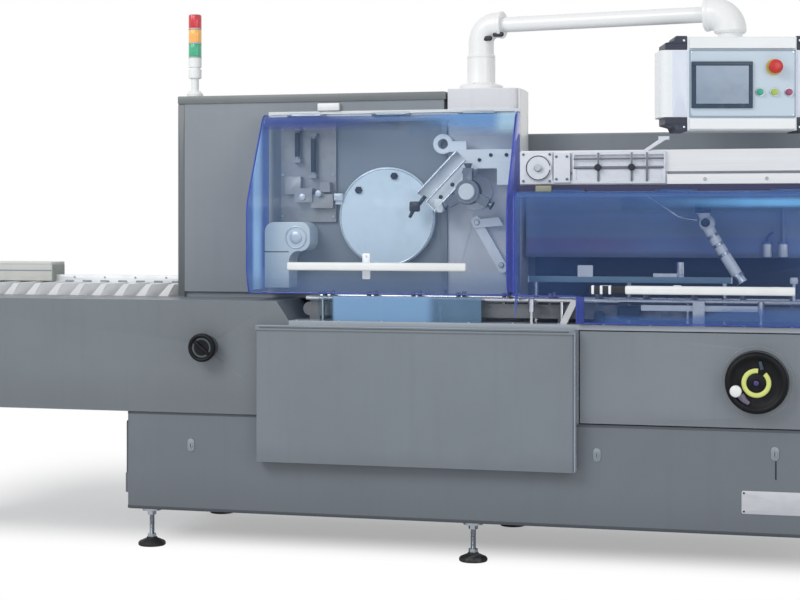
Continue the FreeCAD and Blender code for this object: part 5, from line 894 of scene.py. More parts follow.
# Painted highlight: a small violet dome stands for the glint on the wheel's dark centre.
painted_glint = turned([(0.0085, 0.0530), (0.0080, 0.0550), (0.0050, 0.0564)], 24)
wheel_piece("wheel_painted_glint", painted_glint, moulded("violet_painted_glint", rgb(70, 56, 128), rough=0.15, dust=0.02))
knob = turned([(0.0080, 0.043), (0.0085, 0.0500), (0.0130, 0.0550), (0.0180, 0.0620), (0.0195, 0.0680),
               (0.0175, 0.0735), (0.0110, 0.0768)], 36)
knob = put(knob, (-0.0580, -0.0300, 0), (-0.09, 0.06, 1))
wheel_piece("wheel_knob", knob, grip_white)
tail = tube(rounded([(-0.050, -0.040, 0.050), (-0.038, -0.056, 0.051), (-0.024, -0.066, 0.048)], 0.01),
            np.linspace(0.0125, 0.007, 7), 16, (0, 0, 1))
wheel_piece("wheel_knob_arm", tail, moulded("lilac_grey", rgb(112, 106, 126), rough=0.35, dust=0.04))
collar = turned([(0.1045, -0.001), (0.1045, 0.0060), (0.1056, 0.0072), (0.1110, 0.0070), (0.1122, 0.0056),
                 (0.1122, -0.001)], 96)
piece("wheel_collar", [on_wheel(collar)], pale_ring)

# %% Small handwheel
small = turned([(0.0078, -0.0175), (0.0078, 0.043), (0.0400, 0.044), (0.0470, 0.0460), (0.0500, 0.0505), (0.0500, 0.057),
                (0.0475, 0.0618), (0.0430, 0.0640), (0.0380, 0.0625), (0.0350, 0.0580)], 72)
small_piece("small_wheel", small, black_plastic)
dish_grey = moulded("dish_grey", rgb(66, 76, 78), rough=0.3, dust=0.06)
dish = turned([(0.0352, 0.054), (0.0345, 0.0588), (0.0200, 0.0570), (0.0090, 0.0568)], 40)
small_piece("small_wheel_dish", dish, dish_grey)
bar_path = rounded([(-0.025, 0.021, 0.0575), (-0.012, 0.010, 0.0605), (0.012, -0.010, 0.0605),
                    (0.025, -0.021, 0.0575)], 0.01)
small_piece("small_wheel_bar", tube(bar_path, 0.0068, 14, (0, 0, 1)), black_plastic)
boss = turned([(0.0400, -0.001), (0.0400, 0.034), (0.0380, 0.0375), (0.0300, 0.0385), (0.0100, 0.0388)], 56)
piece("small_wheel_boss", [put(boss, SMALL, FRONT)], dish_grey)

# %% [markdown]
# ## Signal tower
# Three ribbed lenses stand on a short pole: red over amber over green. The ribs are real, because they are
# what makes a lamp lens sparkle, and the rings between them are plain grey plastic.
# %% Lamps and pole
TOWER, LAMP_FOOT, LAMP = (-0.797, -0.113), 1.7672, 0.0533
tower_grey = moulded("tower_grey", rgb(186, 188, 190), rough=0.35)
for number, (name, finish) in enumerate((("green", lens_green), ("amber", lens_amber), ("red", lens_red))):
    low = LAMP_FOOT + number * LAMP
    shape = put(fluted(0.0238, 0.0025, LAMP - 0.0025), (*TOWER, low))
    piece("lamp_" + name, [shape], finish, stands_for=["signal_lamps"])
rings = [turned([(0.0205, z - 0.003), (0.0242, z - 0.0026), (0.0242, z + 0.0026), (0.0205, z + 0.003)], 48)
         for z in (LAMP_FOOT + np.arange(3) * LAMP)]
top = turned([(0.0205, 1.9235), (0.0222, 1.9250), (0.0190, 1.9268)], 48)
piece("lamp_rings", [put(shape, (*TOWER, 0)) for shape in rings + [top]], tower_grey,
      stands_for=["signal_lamps"])
pole_screws = [(TOWER[0] + 0.024 * math.cos(a), TOWER[1] + 0.024 * math.sin(a), 1.6315)
               for a in (-0.8, 0.8, 2.4, 4.0)]
piece("pole_screws", [studs(pole_screws, UP, 0.0028, 0.0022)], bolt_metal)

# %% [markdown]
# ## Pendant arm
# The operator box hangs from a cast elbow, a tube and a second elbow. The castings are a round section
# carried along a quarter turn, with the radius swelling at each flange; dark screws clamp the tube.
# %% Elbows and tube
POST = np.array([0.274, -0.065, 0])
ARM_WAY, ARM_SIDE = np.array([0.98420, -0.17708, 0]), np.array([-0.17708, -0.98420, 0])
ARM_LEVEL, FLANGE_LEVEL, FLANGE_RADIUS = 1.860, 1.645, 0.064


def along_arm(reach, height, side=0.0):
    """A place on the arm: reach from the post's axis, height above the floor, and side towards the operator."""
    return POST + reach * ARM_WAY + side * ARM_SIDE + (0, 0, height)


def quarter(centre, start, stop, radius=0.060, steps=14):
    """Points of a quarter turn in the arm's upright plane, as (reach, height) from its centre."""
    a = np.radians(np.linspace(start, stop, steps))
    return np.stack([centre[0] + radius * np.cos(a), centre[1] + radius * np.sin(a)], -1)


def cast(path, radius, sides=40):
    """A casting along a path of (reach, height) pairs, with a radius for each."""
    return tube(np.array([along_arm(reach, height) for reach, height in path]), radius, sides, ARM_SIDE)


arm_enamel = enamel[0]
first = np.vstack([[(0, 1.7453), (0, 1.7490), (0, 1.7530), (0, 1.7570)], quarter((0.060, 1.800), 180, 90),
                   [(0.070, 1.860), (0.074, 1.860), (0.082, 1.860), (0.084, 1.860)]])
first_radius = np.concatenate([[0.0495, 0.0500, 0.0500, 0.0452], np.full(14, 0.0451), [0.0452, 0.0480, 0.0480, 0.0465]])
last = np.vstack([[(0.816, 1.860), (0.818, 1.860), (0.828, 1.860), (0.832, 1.860)], quarter((0.840, 1.800), 90, 0),
                  [(0.900, 1.7930), (0.900, 1.7900), (0.900, 1.7800), (0.900, 1.7745)]])
last_radius = np.concatenate([[0.0550, 0.0575, 0.0575, 0.0550], np.linspace(0.0550, 0.0545, 14),
                              [0.0500, 0.0420, 0.0400, 0.0400]])
piece("arm_castings", [cast(first, first_radius), cast(last, last_radius)], arm_enamel, "swing_arm",
      ["pendant_arm"], sharp=28)
piece("arm_tube", [cast([(reach, ARM_LEVEL) for reach in (0.070, 0.3, 0.6, 0.830)], 0.027)], arm_enamel, "swing_arm",
      ["pendant_arm"])
screws = [put(plate(loop_of(0.040, 0.017, 0.008), 0.009, 0.003, 3), along_arm(reach, height, side), ARM_SIDE, UP)
          for reach, height, side in ((0.034, 1.811, 0.0290), (0.076, 1.824, 0.0245))]
piece("arm_clamp_screws", screws, dark_metal, "swing_arm")
flange = [put(hoop(FLANGE_RADIUS, 0.0012, 1, 48, 6), POST + (0, 0, FLANGE_LEVEL)),
          studs([POST + (FLANGE_RADIUS * math.cos(a), FLANGE_RADIUS * math.sin(a), FLANGE_LEVEL + 0.001)
                 for a in np.arange(6) * np.pi / 3 + 0.3], UP, 0.0050, 0.0045)]
piece("post_flange_screws", flange, bolt_metal)

# %% [markdown]
# ## Operator box
# The box is turned to face the operator, so its small parts are placed by how far across and up they are on
# its face. The stop button is a red mushroom on a yellow plate; three coloured buttons sit below in steel
# rings.
# %% A place on the box's face
BOX_FOOT, BOX_TURN = np.array([1.1840, -0.2181, 1.463]), math.radians(14.55)
BOX_WAY = np.array([math.cos(BOX_TURN), math.sin(BOX_TURN), 0])
BOX_FACE = np.array([math.sin(BOX_TURN), -math.cos(BOX_TURN), 0])


def on_box(shape, across=0.0, up=0.0, out=0.081, axis=None):
    """A shape on the box: across and up from the middle of its lower edge, out from its middle plane."""
    return put(shape, BOX_FOOT + across * BOX_WAY + (0, 0, up) + out * BOX_FACE, BOX_FACE if axis is None else axis, UP)


def box_piece(name, shapes, finish, stands_for=()):
    """A piece that swivels with the operator box."""
    piece(name, shapes, finish, "pendant_box", stands_for)


# %% Buttons and screen
BUTTONS, STOP_UP, BUTTONS_UP = 0.105, 0.2095, 0.1265      # across to the buttons, up to each of their rows
stop_yellow = moulded("stop_yellow", rgb(214, 198, 96), rough=0.4, dust=0.06)
yellow = turned([(0.0275, -0.001), (0.0275, 0.0010), (0.0270, 0.0016)], 48)
box_piece("stop_plate", [on_box(yellow, BUTTONS, STOP_UP)], stop_yellow)
neck = turned([(0.0190, 0.001), (0.0190, 0.0055), (0.0165, 0.0075), (0.0135, 0.0080), (0.0135, 0.0180)], 40)
box_piece("stop_neck", [on_box(neck, BUTTONS, STOP_UP)], black_plastic, ["stop_button"])
mushroom = turned([(0.0150, 0.0170), (0.0205, 0.0190), (0.0232, 0.0240), (0.0230, 0.0300), (0.0205, 0.0345),
                   (0.0150, 0.0370), (0.0070, 0.0380)], 56)
box_piece("stop_mushroom", [on_box(mushroom, BUTTONS, STOP_UP)], stop_red, ["stop_button"])
places = (-0.048, 0, 0.048)
ring = turned([(0.0152, -0.001), (0.0152, 0.0030), (0.0140, 0.0046), (0.0122, 0.0046), (0.0120, 0.0036)], 40)
box_piece("button_rings", [on_box(ring, BUTTONS + place, BUTTONS_UP) for place in places], bolt_metal,
          ["push_buttons"])
for name, place, finish in zip(("green", "lime", "rose"), places, (cap_green, cap_lime, cap_rose)):
    cap = turned([(0.0118, 0.003), (0.0118, 0.0095), (0.0108, 0.0110), (0.0060, 0.0116)], 36)
    box_piece("button_" + name, [on_box(cap, BUTTONS + place, BUTTONS_UP)], finish, ["push_buttons"])
FACE_MIDDLE, FACE_OUT, DOOR_OUT = 0.1555, 0.0800, -0.0748
# Painted shade: thin darker blue lines round the face plate, where its frame shades it.
level_shade_line, upright_shade_line = (plate(loop_of(*size, 0.001), 0.0022, 0.0006) for size in ((0.352, 0.0045), (0.0035, 0.222)))
shade_lines = [on_box(level_shade_line, 0, up, FACE_OUT) for up in (0.2648, 0.0462)]
shade_lines += [on_box(upright_shade_line, across, FACE_MIDDLE, FACE_OUT) for across in (-0.1742, 0.1742)]
box_piece("panel_shade_lines", shade_lines, paint("shade_blue", rgb(150, 168, 188), rough=0.4, drift=0.02, dirt=0.05))
# Painted shade: a darker strip along the top of the screen bezel.
bezel_top_shade_strip = plate(loop_of(0.196, 0.011, 0.002), 0.0024, 0.0008)
box_piece("bezel_top_shade", [on_box(bezel_top_shade_strip, -0.068, 0.2200, 0.0882)], moulded("slate_painted_shade", rgb(58, 74, 92)))
face_screws = [on_box(screw(0.0035, 0.0018), x, z, 0.0808) for x in (-0.1680, 0.1680) for z in (0.052, 0.259)]
box_piece("face_screws", face_screws, bolt_metal)

# %% Columns, caps and the back door
# Painted highlight: a pale bluish strip on each column's side stands for the light it catches.
sheen = paint("column_sheen", rgb(226, 232, 246), rough=0.24, drift=0.015, dirt=0.03)
column = plate(loop_of(0.050, 0.218, 0.004), 0.0014, 0.0006)
box_piece("column_strips", [on_box(column, side * 0.206, FACE_MIDDLE, 0.0747) for side in (-1, 1)], sheen)
cap_line, cap_screw = plate(loop_of(0.078, 0.0016, 0.0007), 0.0012, 0.0003), screw(0.0040, 0.0022)
for name, shape, across, levels, finish in (("cap_lines", cap_line, 0.216, (0.022, 0.289), dark_metal),
                                            ("cap_screws", cap_screw, 0.192, (0.012, 0.299), bolt_metal)):
    box_piece(name, [on_box(shape, side * across, up, 0.0697) for side in (-1, 1) for up in levels], finish)
door = plate(loop_of(0.340, 0.215, 0.010), 0.0035, 0.0012)
box_piece("box_door", [on_box(door, 0, FACE_MIDDLE, DOOR_OUT, -BOX_FACE)], face_grey)
box_piece("box_door_screws", [on_box(screw(0.0050, 0.0025), x, z, -0.0782, -BOX_FACE) for x in (-0.158, 0, 0.158)
                              for z in (0.060, 0.251)], bolt_metal)
pull = tube(rounded([(-0.045, 0, 0), (-0.045, 0, 0.022), (0.045, 0, 0.022), (0.045, 0, 0)], 0.012), 0.0045, 14, (0, 1, 0))
box_piece("box_door_pull", [on_box(pull, 0, FACE_MIDDLE, -0.0765, -BOX_FACE)], black_plastic)

# %% [markdown]
# ## Guard hoods
# A bent acrylic sheet looks brighter at its cut edges and at its bends, and its closed ends look deeper than its
# front, because more of the tint lies in the line of sight. So the ends get a thin second skin and the
# outline gets a fine bead, both in a stronger blue and with a painted glow, a faint emission of their own.
# %% Outlines of both hoods, from the bend of the sheet
LEFT_SIDE = rounded([(-0.1685, 1.5435), (-0.2240, 1.5435), (-0.4012, 1.2220), (-0.4012, 0.9700),
                     (-0.3775, 0.9135)], 0.041, 7)
RIGHT_SIDE = rounded([(-0.343, 1.2615), (-0.4212, 1.2615), (-0.4212, 0.8245)], 0.044, 7)


def rib(outline, x, thick):
    """A bead along a side outline of (y, z) pairs at one x."""
    path = np.column_stack([np.full(len(outline), x), outline])
    return tube(path, thick, 8, RIGHT)


def end_skin(outline, back, low, x, depth):
    """A hood's closed end as a thin plate: its side outline, closed along the back and the bottom."""
    closed = np.vstack([outline, [(back, low)]])
    middle = closed.mean(0)
    return put(plate(middle + (closed - middle) * 0.975, depth, 0.0003), (x, 0, 0), RIGHT)


def painted_sky_strip(coat):
    """A painted sky reflection: a band between two depths of the left end."""
    deep = coat.along("y")
    return coat.step(deep, -0.375, -0.325) * coat.step(deep, -0.300, -0.205, 1.0, 0.0) * 0.55


def painted_sky_band(coat):
    """A painted sky reflection: a soft bar along the right hood's upper bend, brightest towards its right end."""
    bar = coat.step(coat.along("z"), 1.203, 1.219) * coat.step(coat.along("z"), 1.226, 1.243, 1.0, 0.0)
    return bar * coat.step(coat.along("x") + (coat.noise(7, 2) - 0.5) * 0.2, 0.90, 1.36, 0.0, 0.75)


def hood_piece(side, what, shapes, finish):
    """A piece that lifts with the left or the right hood."""
    piece(f"{side}_hood_{what}", shapes, finish, side + "_guard")


# Painted light: the end skins give off a faint glow of their own, and the left end also carries a painted sky
# reflection.
left_end_blue = clear_sheet("left_end_blue", (0.90, 0.94, 0.99, 1), rgb(96, 128, 196), 0.24, painted_light=painted_sky_strip,
                            deep=rgb(186, 222, 250), glow=0.22)
right_end_blue = clear_sheet("right_end_blue", (0.86, 0.89, 0.98, 1), rgb(124, 136, 216), 0.5, glow=0.14)
inner_end_lilac = clear_sheet("inner_end_lilac", (0.86, 0.90, 0.98, 1), rgb(126, 146, 214), 0.42, glow=0.10)
LEFT_LOW, RIGHT_LOW, SHEET, NOTCH = 0.9135, 0.8245, -0.4212, 0.6715
hood_piece("left", "end_l", [end_skin(LEFT_SIDE, -0.1690, LEFT_LOW, -0.4886, 0.0012)], left_end_blue)
hood_piece("left", "end_r", [end_skin(LEFT_SIDE, -0.1690, LEFT_LOW, 0.4335, 0.0010)], right_end_blue)
low_bead = tube([(-0.4925, -0.3780, LEFT_LOW), (0.4315, -0.3780, LEFT_LOW)], 0.0026, 8)
hood_piece("left", "beads", [rib(LEFT_SIDE, x, 0.0028) for x in (-0.4925, 0.4315)] + [low_bead], painted_edge_glow)
hood_piece("right", "end_l", [end_skin(RIGHT_SIDE, -0.3430, LEFT_LOW, 0.4625, 0.0012)], inner_end_lilac)
hood_piece("right", "end_r", [end_skin(RIGHT_SIDE, -0.3430, RIGHT_LOW, 1.5295, 0.0010)], right_end_blue)
beads = [rib(RIGHT_SIDE[:-1].tolist() + [(SHEET, LEFT_LOW)], 0.4585, 0.0028), rib(RIGHT_SIDE, 1.5285, 0.0026)]
beads += [tube([(x0, SHEET, z0), (x1, SHEET, z1)], thick, 8) for x0, z0, x1, z1, thick in (
    (0.672, RIGHT_LOW, 1.5285, RIGHT_LOW, 0.0026), (0.4585, LEFT_LOW, 0.671, LEFT_LOW, 0.0026),
    (NOTCH, LEFT_LOW, NOTCH, RIGHT_LOW, 0.0032))]
hood_piece("right", "beads", beads, painted_edge_glow)
piece("notch_mullion", [block((0.6720, -0.4240, 0.8250), (0.6970, -0.4222, 0.9130), 0.0005, 0.002, "y")],
      clear_sheet("mullion_blue", (0.6, 0.68, 0.97, 1), rgb(56, 76, 160), 0.7), "right_guard")

# %% Top highlights: a painted highlight strip along each hood's upper edge, and painted reflections on the slope
painted_edge_highlight = clear_sheet("painted_edge_highlight", (0.95, 0.97, 1.0, 1), rgb(228, 238, 248), 0.85)
top_highlight_block = block((-0.470, -0.2200, 1.5440), (0.420, -0.1880, 1.5468), 0.0010, 0.002)
hood_piece("left", "painted_highlight_strip", [top_highlight_block], painted_edge_highlight)
# Painted reflection: a soft sky-blue bar along the right hood's upper bend.
painted_sky_blue = clear_sheet("painted_sky_blue", (0.97, 0.985, 1.0, 1), rgb(112, 176, 228), 0.0, painted_light=painted_sky_band, glow=0.12)
hood_piece("right", "painted_highlight_strip", [block((0.820, -0.4245, 1.1980), (1.526, -0.4228, 1.2480), 0.0006, 0.004, "y")], painted_sky_blue)
SLOPE_DOWN, SLOPE_OUT = np.array([0, -0.4827, -0.8758]), np.array([0, -0.8758, 0.4827])


def on_slope(x0, x1, down, width, depth=0.0014):
    """A thin strip lying on the left hood's slanted face, at a distance down from its upper bend."""
    centre = np.array([(x0 + x1) / 2, -0.2240, 1.5435]) + down * SLOPE_DOWN + 0.0078 * SLOPE_OUT
    return put(plate(loop_of(x1 - x0, width, 0.004), depth, 0.0004), centre, SLOPE_OUT, -SLOPE_DOWN)


# Painted reflections on the left hood's slope: a navy band on its left part and a sky-blue band on its right part.
navy_painted_reflection = clear_sheet("navy_painted_reflection", (0.97, 0.98, 1.0, 1), rgb(66, 88, 164), 0.0,
                        painted_light=lambda coat: coat.step(coat.along("x"), -0.34, -0.02, 0.58, 0.0)
                        * coat.step(coat.along("z"), 1.478, 1.518))


def painted_sky_mask(coat):
    """The painted sky reflection's share: rises along the slope's right half, and reaches further down the further
    right it goes.
    """
    level = coat.along("z") + (coat.noise(9, 2) - 0.5) * 0.03
    reach = coat.step(coat.along("x"), 0.12, 0.40, 0.0, 0.018)
    return coat.step(coat.along("x"), 0.08, 0.24, 0.0, 0.5) * coat.step(level + reach, 1.474, 1.528)


sky_painted_reflection = clear_sheet("sky_painted_reflection", (0.97, 0.985, 1.0, 1), rgb(118, 168, 222), 0.0, painted_light=painted_sky_mask, glow=0.06,
                       deep=rgb(190, 226, 246), where=lambda coat: coat.step(coat.along("x"), 0.345, 0.395))
hood_piece("left", "navy_painted_reflection", [on_slope(-0.478, 0.020, 0.044, 0.058)], navy_painted_reflection)
hood_piece("left", "sky_painted_reflection", [on_slope(0.060, 0.4295, 0.058, 0.090)], sky_painted_reflection)

# %% Grip bars
def grip_bar(name, body, ends, level, front, node, brackets, tall):
    """A white bar on grey brackets: the bar is a rounded section, its ends are drawn in."""
    left, right = ends
    back = front + 0.024
    path = [(left, front + 0.012, level), (left + 0.004, front + 0.012, level), (right - 0.004, front + 0.012, level),
            (right, front + 0.012, level)]
    shape_points, shape_quads = tube(path, np.array([0.0095, 0.0125, 0.0125, 0.0095]), 28)
    offset = shape_points - (0, front + 0.012, level)
    offset[:, 1:] = np.sign(offset[:, 1:]) * np.abs(offset[:, 1:] / 0.0125) ** 0.55 * (0.012, 0.014)
    piece(name + "_bar", [(offset + (0, front + 0.012, level), shape_quads)], grip_white, body, [node], sharp=50)
    parts = []
    for number, x in enumerate(brackets):
        height = tall if number == 1 else 0.026
        parts.append(block((x, back - 0.001, level - 0.011), (x + 0.036, back + 0.0305, level + 0.011), 0.0015, 0.003, "y"))
        parts.append(block((x + 0.004, back + 0.0255, level - height / 2), (x + 0.032, back + 0.0300, level + height / 2),
                           0.001, 0.004, "y"))
        for up in (-1, 1) if height > 0.05 else ():
            parts.append(put(screw(0.0045, 0.0035), (x + 0.018, back + 0.0258, level + up * (height / 2 - 0.009)), FRONT))
    piece(name + "_brackets", parts, guide_metal, body, [node])


grip_bar("left_grip", "left_guard", (-0.326, 0.301), 1.008, -0.457, "left_hood_handle",
         (-0.301, -0.075, 0.226), 0.088)
grip_bar("right_grip", "right_guard", (0.838, 1.379), 0.938, -0.477, "right_hood_handle",
         (0.748, 0.985, 1.300), 0.030)
end_block = [block((0.722, -0.4765, 0.9250), (0.839, -0.4535, 0.9510), 0.002, 0.003, "y")]
piece("right_grip_block", end_block, dark_metal, "right_guard", ["right_hood_handle"])
stripe = block((0, -0.4775, 0.9235), (0.009, -0.4530, 0.9525), 0.0015, 0.003, "y")
piece("right_grip_stripes", [copies(stripe, [(x, 0, 0) for x in (0.728, 0.756, 0.784)])], guide_metal, "right_guard",
      ["right_hood_handle"])

# %% [markdown]
# ## Behind the left hood
# The cam disc carries a tab and two bolts. The rotary feeder has a white cap on its hub and rubber cups on
# its arms. The chute is folded sheet with rails, a clamp at its foot and a small white roller.
# %% Disc, feeder and chute fittings
bolts = [put(hexagon(0.0135, 0.010), (x, -0.1785, z), FRONT) for x, z in ((-0.148, 1.274), (-0.017, 1.323))]
piece("disc_bolts", bolts, dark_metal)
piece("disc_tab_block", [block((-0.239, -0.1905, 1.236), (-0.2050, -0.1740, 1.262), 0.002, 0.004, "y")], carriage_metal)
rim = put(hoop(0.1705, 0.0018, 1, 96, 8), (-0.045, -0.1795, 1.179), FRONT)
piece("disc_rim", [rim], bolt_metal)
hub_cap = turned([(0.0290, -0.001), (0.0290, 0.006), (0.0265, 0.0090), (0.0120, 0.0105)], 48)
piece("hub_cap", [put(hub_cap, (0.273, -0.303, 1.264), FRONT)], grip_white, "feeder_rotor")
collar = turned([(0.0425, 0.004), (0.0440, 0.006), (0.0440, 0.030), (0.0425, 0.032)], 48)
piece("hub_collar", [put(collar, (0.273, -0.2570, 1.264), FRONT)], dark_metal, "feeder_rotor")
cup = turned([(0.0086, 0.006), (0.0092, 0.009), (0.0080, 0.011), (0.0108, 0.013), (0.0155, 0.0165), (0.0160, 0.0180)], 28)
cups = []
for turn in np.radians([30, 150, 270]):
    way = np.array([math.cos(turn), 0, -math.sin(turn)])
    cups.append(put(cup, np.array([0.273, -0.281, 1.264]) + 0.080 * way, way))
piece("feeder_cups", cups, black_plastic, "feeder_rotor")
CHUTE_FOOT = np.array([0.148, -0.243, 1.192])
CHUTE_WAY, CHUTE_OVER = np.array([0.6947, 0, 0.7193]), np.array([-0.7193, 0, 0.6947])
rails = [tube([CHUTE_FOOT + CHUTE_OVER * over + CHUTE_WAY * reach + (0, -0.004, 0) for reach in (0.004, 0.206)],
              0.0042, 12) for over in (0.006, 0.050, 0.094)]
piece("chute_rails", rails, rod_steel)
clamp = [block((0.058, -0.262, 1.196), (0.092, -0.236, 1.232), 0.003, 0.006, "y"),
         tube([(0.072, -0.250, 1.205), (0.060, -0.262, 1.176)], np.array([0.0075, 0.0055]), 14),
         tube([(0.090, -0.246, 1.222), (0.112, -0.246, 1.250)], 0.007, 14)]
piece("chute_clamp", clamp, dark_metal)
roller = [put(turned([(0.0120, 0), (0.0145, 0.003), (0.0145, 0.016), (0.0120, 0.019)], 32), (0.168, -0.2440, 1.206), FRONT),
          block((0.146, -0.250, 1.216), (0.180, -0.240, 1.240), 0.002, 0.004, "y")]
piece("chute_roller", roller, grip_white)
hole = turned([(0.0075, -0.001), (0.0075, 0.0012)], 20)
holes = [put(hole, CHUTE_FOOT + CHUTE_WAY * reach + CHUTE_OVER * 0.028 + (0, 0.0198, 0), FRONT)
         for reach in (0.05, 0.11, 0.17)]
piece("chute_holes", holes, dark_metal)
piece("chute_screws", [studs([(0.345, -0.243, 1.392), (0.400, -0.243, 1.392), (0.305, -0.243, 1.375)], FRONT, 0.0065, 0.005)],
      dark_metal)

# %% Slide unit and guide arm fittings
rods = [(-0.3763, 1.373, 0.128), (-0.3160, 1.316, 0.163)]
piece("slide_sleeves", [put(turned([(0.0084, 0.022), (0.0092, 0.024), (0.0092, tall - 0.022), (0.0084, tall - 0.020)], 20),
                            (x, -0.185, low)) for x, low, tall in rods], dark_metal)
piece("slide_screws", [studs([(x, -0.1650, z) for x in (-0.438, -0.246) for z in (1.180, 1.330, 1.495)], FRONT, 0.005, 0.004)],
      bolt_metal)
piece("slide_knobs", [put(turned([(0.0110, 0), (0.0125, 0.004), (0.0110, 0.012), (0.0060, 0.014)], 24), place, FRONT)
                      for place in ((-0.290, -0.2000, 1.262), (-0.352, -0.1950, 1.250))], carriage_metal)
piece("guide_pins", [put(turned([(0.0100, 0), (0.0100, 0.004), (0.0080, 0.006)], 24), place, FRONT)
                     for place in ((0.368, -0.1728, 1.010), (0.283, -0.1828, 1.158))], bolt_metal)
piece("drive_rings", [put(hoop(0.038, 0.0030, 1, 48, 8), (-0.360, -0.2535, 1.105), FRONT),
                      put(turned([(0.0220, 0), (0.0220, 0.004), (0.0190, 0.006), (0.0080, 0.0064)], 36), (-0.360, -0.2530, 1.105), FRONT)],
      carriage_metal)
piece("drive_seam", [block((-0.4785, -0.2535, 1.052), (-0.3865, -0.2520, 1.0555), 0.0004, 0.001, "y")], dark_metal)

# %% [markdown]
# ## Behind the right hood
# An air nozzle hangs from the guard sheet, with a dark cap, a clamp collar and a bright tip; two short
# cylinders stand beside it, and a thin air line slants down from the beam.
# %% Nozzle, air line and cylinders
cap = turned([(0.0255, -0.006), (0.0262, -0.004), (0.0262, 0.022), (0.0240, 0.0265), (0.0100, 0.0285)], 40)
piece("nozzle_cap", [put(cap, (1.068, -0.213, 1.196))], dark_metal)
eye = turned([(0.0150, 0.020), (0.0150, 0.0300), (0.0120, 0.0325), (0.0050, 0.0328)], 32)
piece("nozzle_eye", [put(eye, (1.0790, -0.213, 1.158), FRONT)], dark_metal)
NOZZLE = np.array([(1.0875, -0.213, 1.1360), (1.1525, -0.213, 1.0304), (1.1980, -0.213, 0.9560)])
bands = [(0.22, 0.0205), (0.50, 0.0202), (0.80, 0.0205)]
way = NOZZLE[1] - NOZZLE[0]
collars = [tube([NOZZLE[0] + way * (share - 0.045), NOZZLE[0] + way * (share - 0.035), NOZZLE[0] + way * (share + 0.035),
                 NOZZLE[0] + way * (share + 0.045)], np.array([0.0192, reach, reach, 0.0192]), 28) for share, reach in bands]
tip = NOZZLE[2] - NOZZLE[1]
collars.append(tube([NOZZLE[1] + tip * 0.62, NOZZLE[1] + tip * 0.66, NOZZLE[1] + tip * 0.97, NOZZLE[1] + tip * 1.0],
                    np.array([0.0192, 0.0212, 0.0200, 0.0150]), 28))
piece("nozzle_collars", collars, bolt_metal)
line_path = rounded([(0.884, -0.250, 1.270), (0.884, -0.250, 1.250), (0.989, -0.225, 1.176), (1.048, -0.217, 1.166)], 0.02, 5)
piece("air_line", [tube(line_path, 0.0032, 10)], rod_steel)
sleeve = turned([(0.0152, 0.0), (0.0160, 0.002), (0.0160, 0.040), (0.0148, 0.0435), (0.0148, 0.0475), (0.0120, 0.0490)], 28)
piece("cylinder_sleeves", [put(sleeve, (x, -0.115, 1.0415)) for x in (1.276, 1.329)], carriage_metal)
piece("cylinder_lines", [tube(rounded([(x, -0.115, 1.088), (x, -0.118, 1.110), (x + 0.02, -0.122, 1.125)], 0.015, 5), 0.003, 8)
                         for x in (1.276,)], hose_blue)
piece("beam_stop", [block((0.524, -0.3705, 1.2520), (0.578, -0.3665, 1.2820), 0.001, 0.003, "y")],
      paint("olive_grey", rgb(150, 152, 128), rough=0.4))

# %% [markdown]
# ## Carton magazine
# The beam carries an adjustable carriage: an end block with a half-round lug, a clamp block, a frame with
# rods and uprights, and a slanted stop. Its screws and knobs are what one turns when cartons change.
# %% Carriage fittings
lug_arc = np.radians(np.linspace(10, 350, 40))
lug_line = np.stack([0.5300 + 0.0405 * np.cos(lug_arc), np.full(40, -0.3530), 1.3425 + 0.0405 * np.sin(lug_arc)], -1)
piece("lug_line", [tube(lug_line, 0.0016, 8, FRONT)], dark_metal)
lug_knob = turned([(0.0120, 0), (0.0130, 0.004), (0.0130, 0.010), (0.0105, 0.0125)], 28)
piece("lug_knob", [put(lug_knob, (0.530, -0.3520, 1.3425), FRONT)], bolt_metal)
grey_steel = grained("grey_steel", rgb(120, 124, 136), rough=0.4, metal=0.6)
FRAME_X = [0.6452, 0.7325, 0.8440, 0.8950]
piece("frame_posts", [block((x - 0.0035, -0.3475, 1.296), (x + 0.0035, -0.3430, 1.392), 0.001, 0.0015, "y") for x in FRAME_X[1:]],
      grey_steel)
piece("frame_rods", [tube([(0.650, -0.3440, z), (0.950, -0.3440, z)], r, 12) for z, r in ((1.3425, 0.0046), (1.3720, 0.0030))],
      grey_steel)
frame_knob = turned([(0.0100, 0), (0.0115, 0.003), (0.0115, 0.012), (0.0090, 0.0145)], 24)
piece("frame_knobs", [put(frame_knob, (x, -0.3470, 1.3425), FRONT) for x in (0.7325, 0.8450)], dark_metal)
piece("carriage_screws", [studs([(x, -0.3438, z) for x in (0.478, 0.568) for z in (1.298, 1.388)], FRONT, 0.0045, 0.0035),
                          studs([(x, -0.3518, z) for x in (0.592, 0.628) for z in (1.304, 1.380)], FRONT, 0.0045, 0.0035)],
      grey_steel)
piece("strip_screws", [studs([(x, -0.3378, 1.3030) for x in row(1.085, 1.485, 3)], FRONT, 0.0060, 0.0040)], bolt_metal)
piece("beam_shadow", [block((0.962, -0.3292, 1.3215), (1.548, -0.3275, 1.3262), 0.0003, 0.001, "y")], grey_steel)
print("carriage knobs at", FRAME_X)

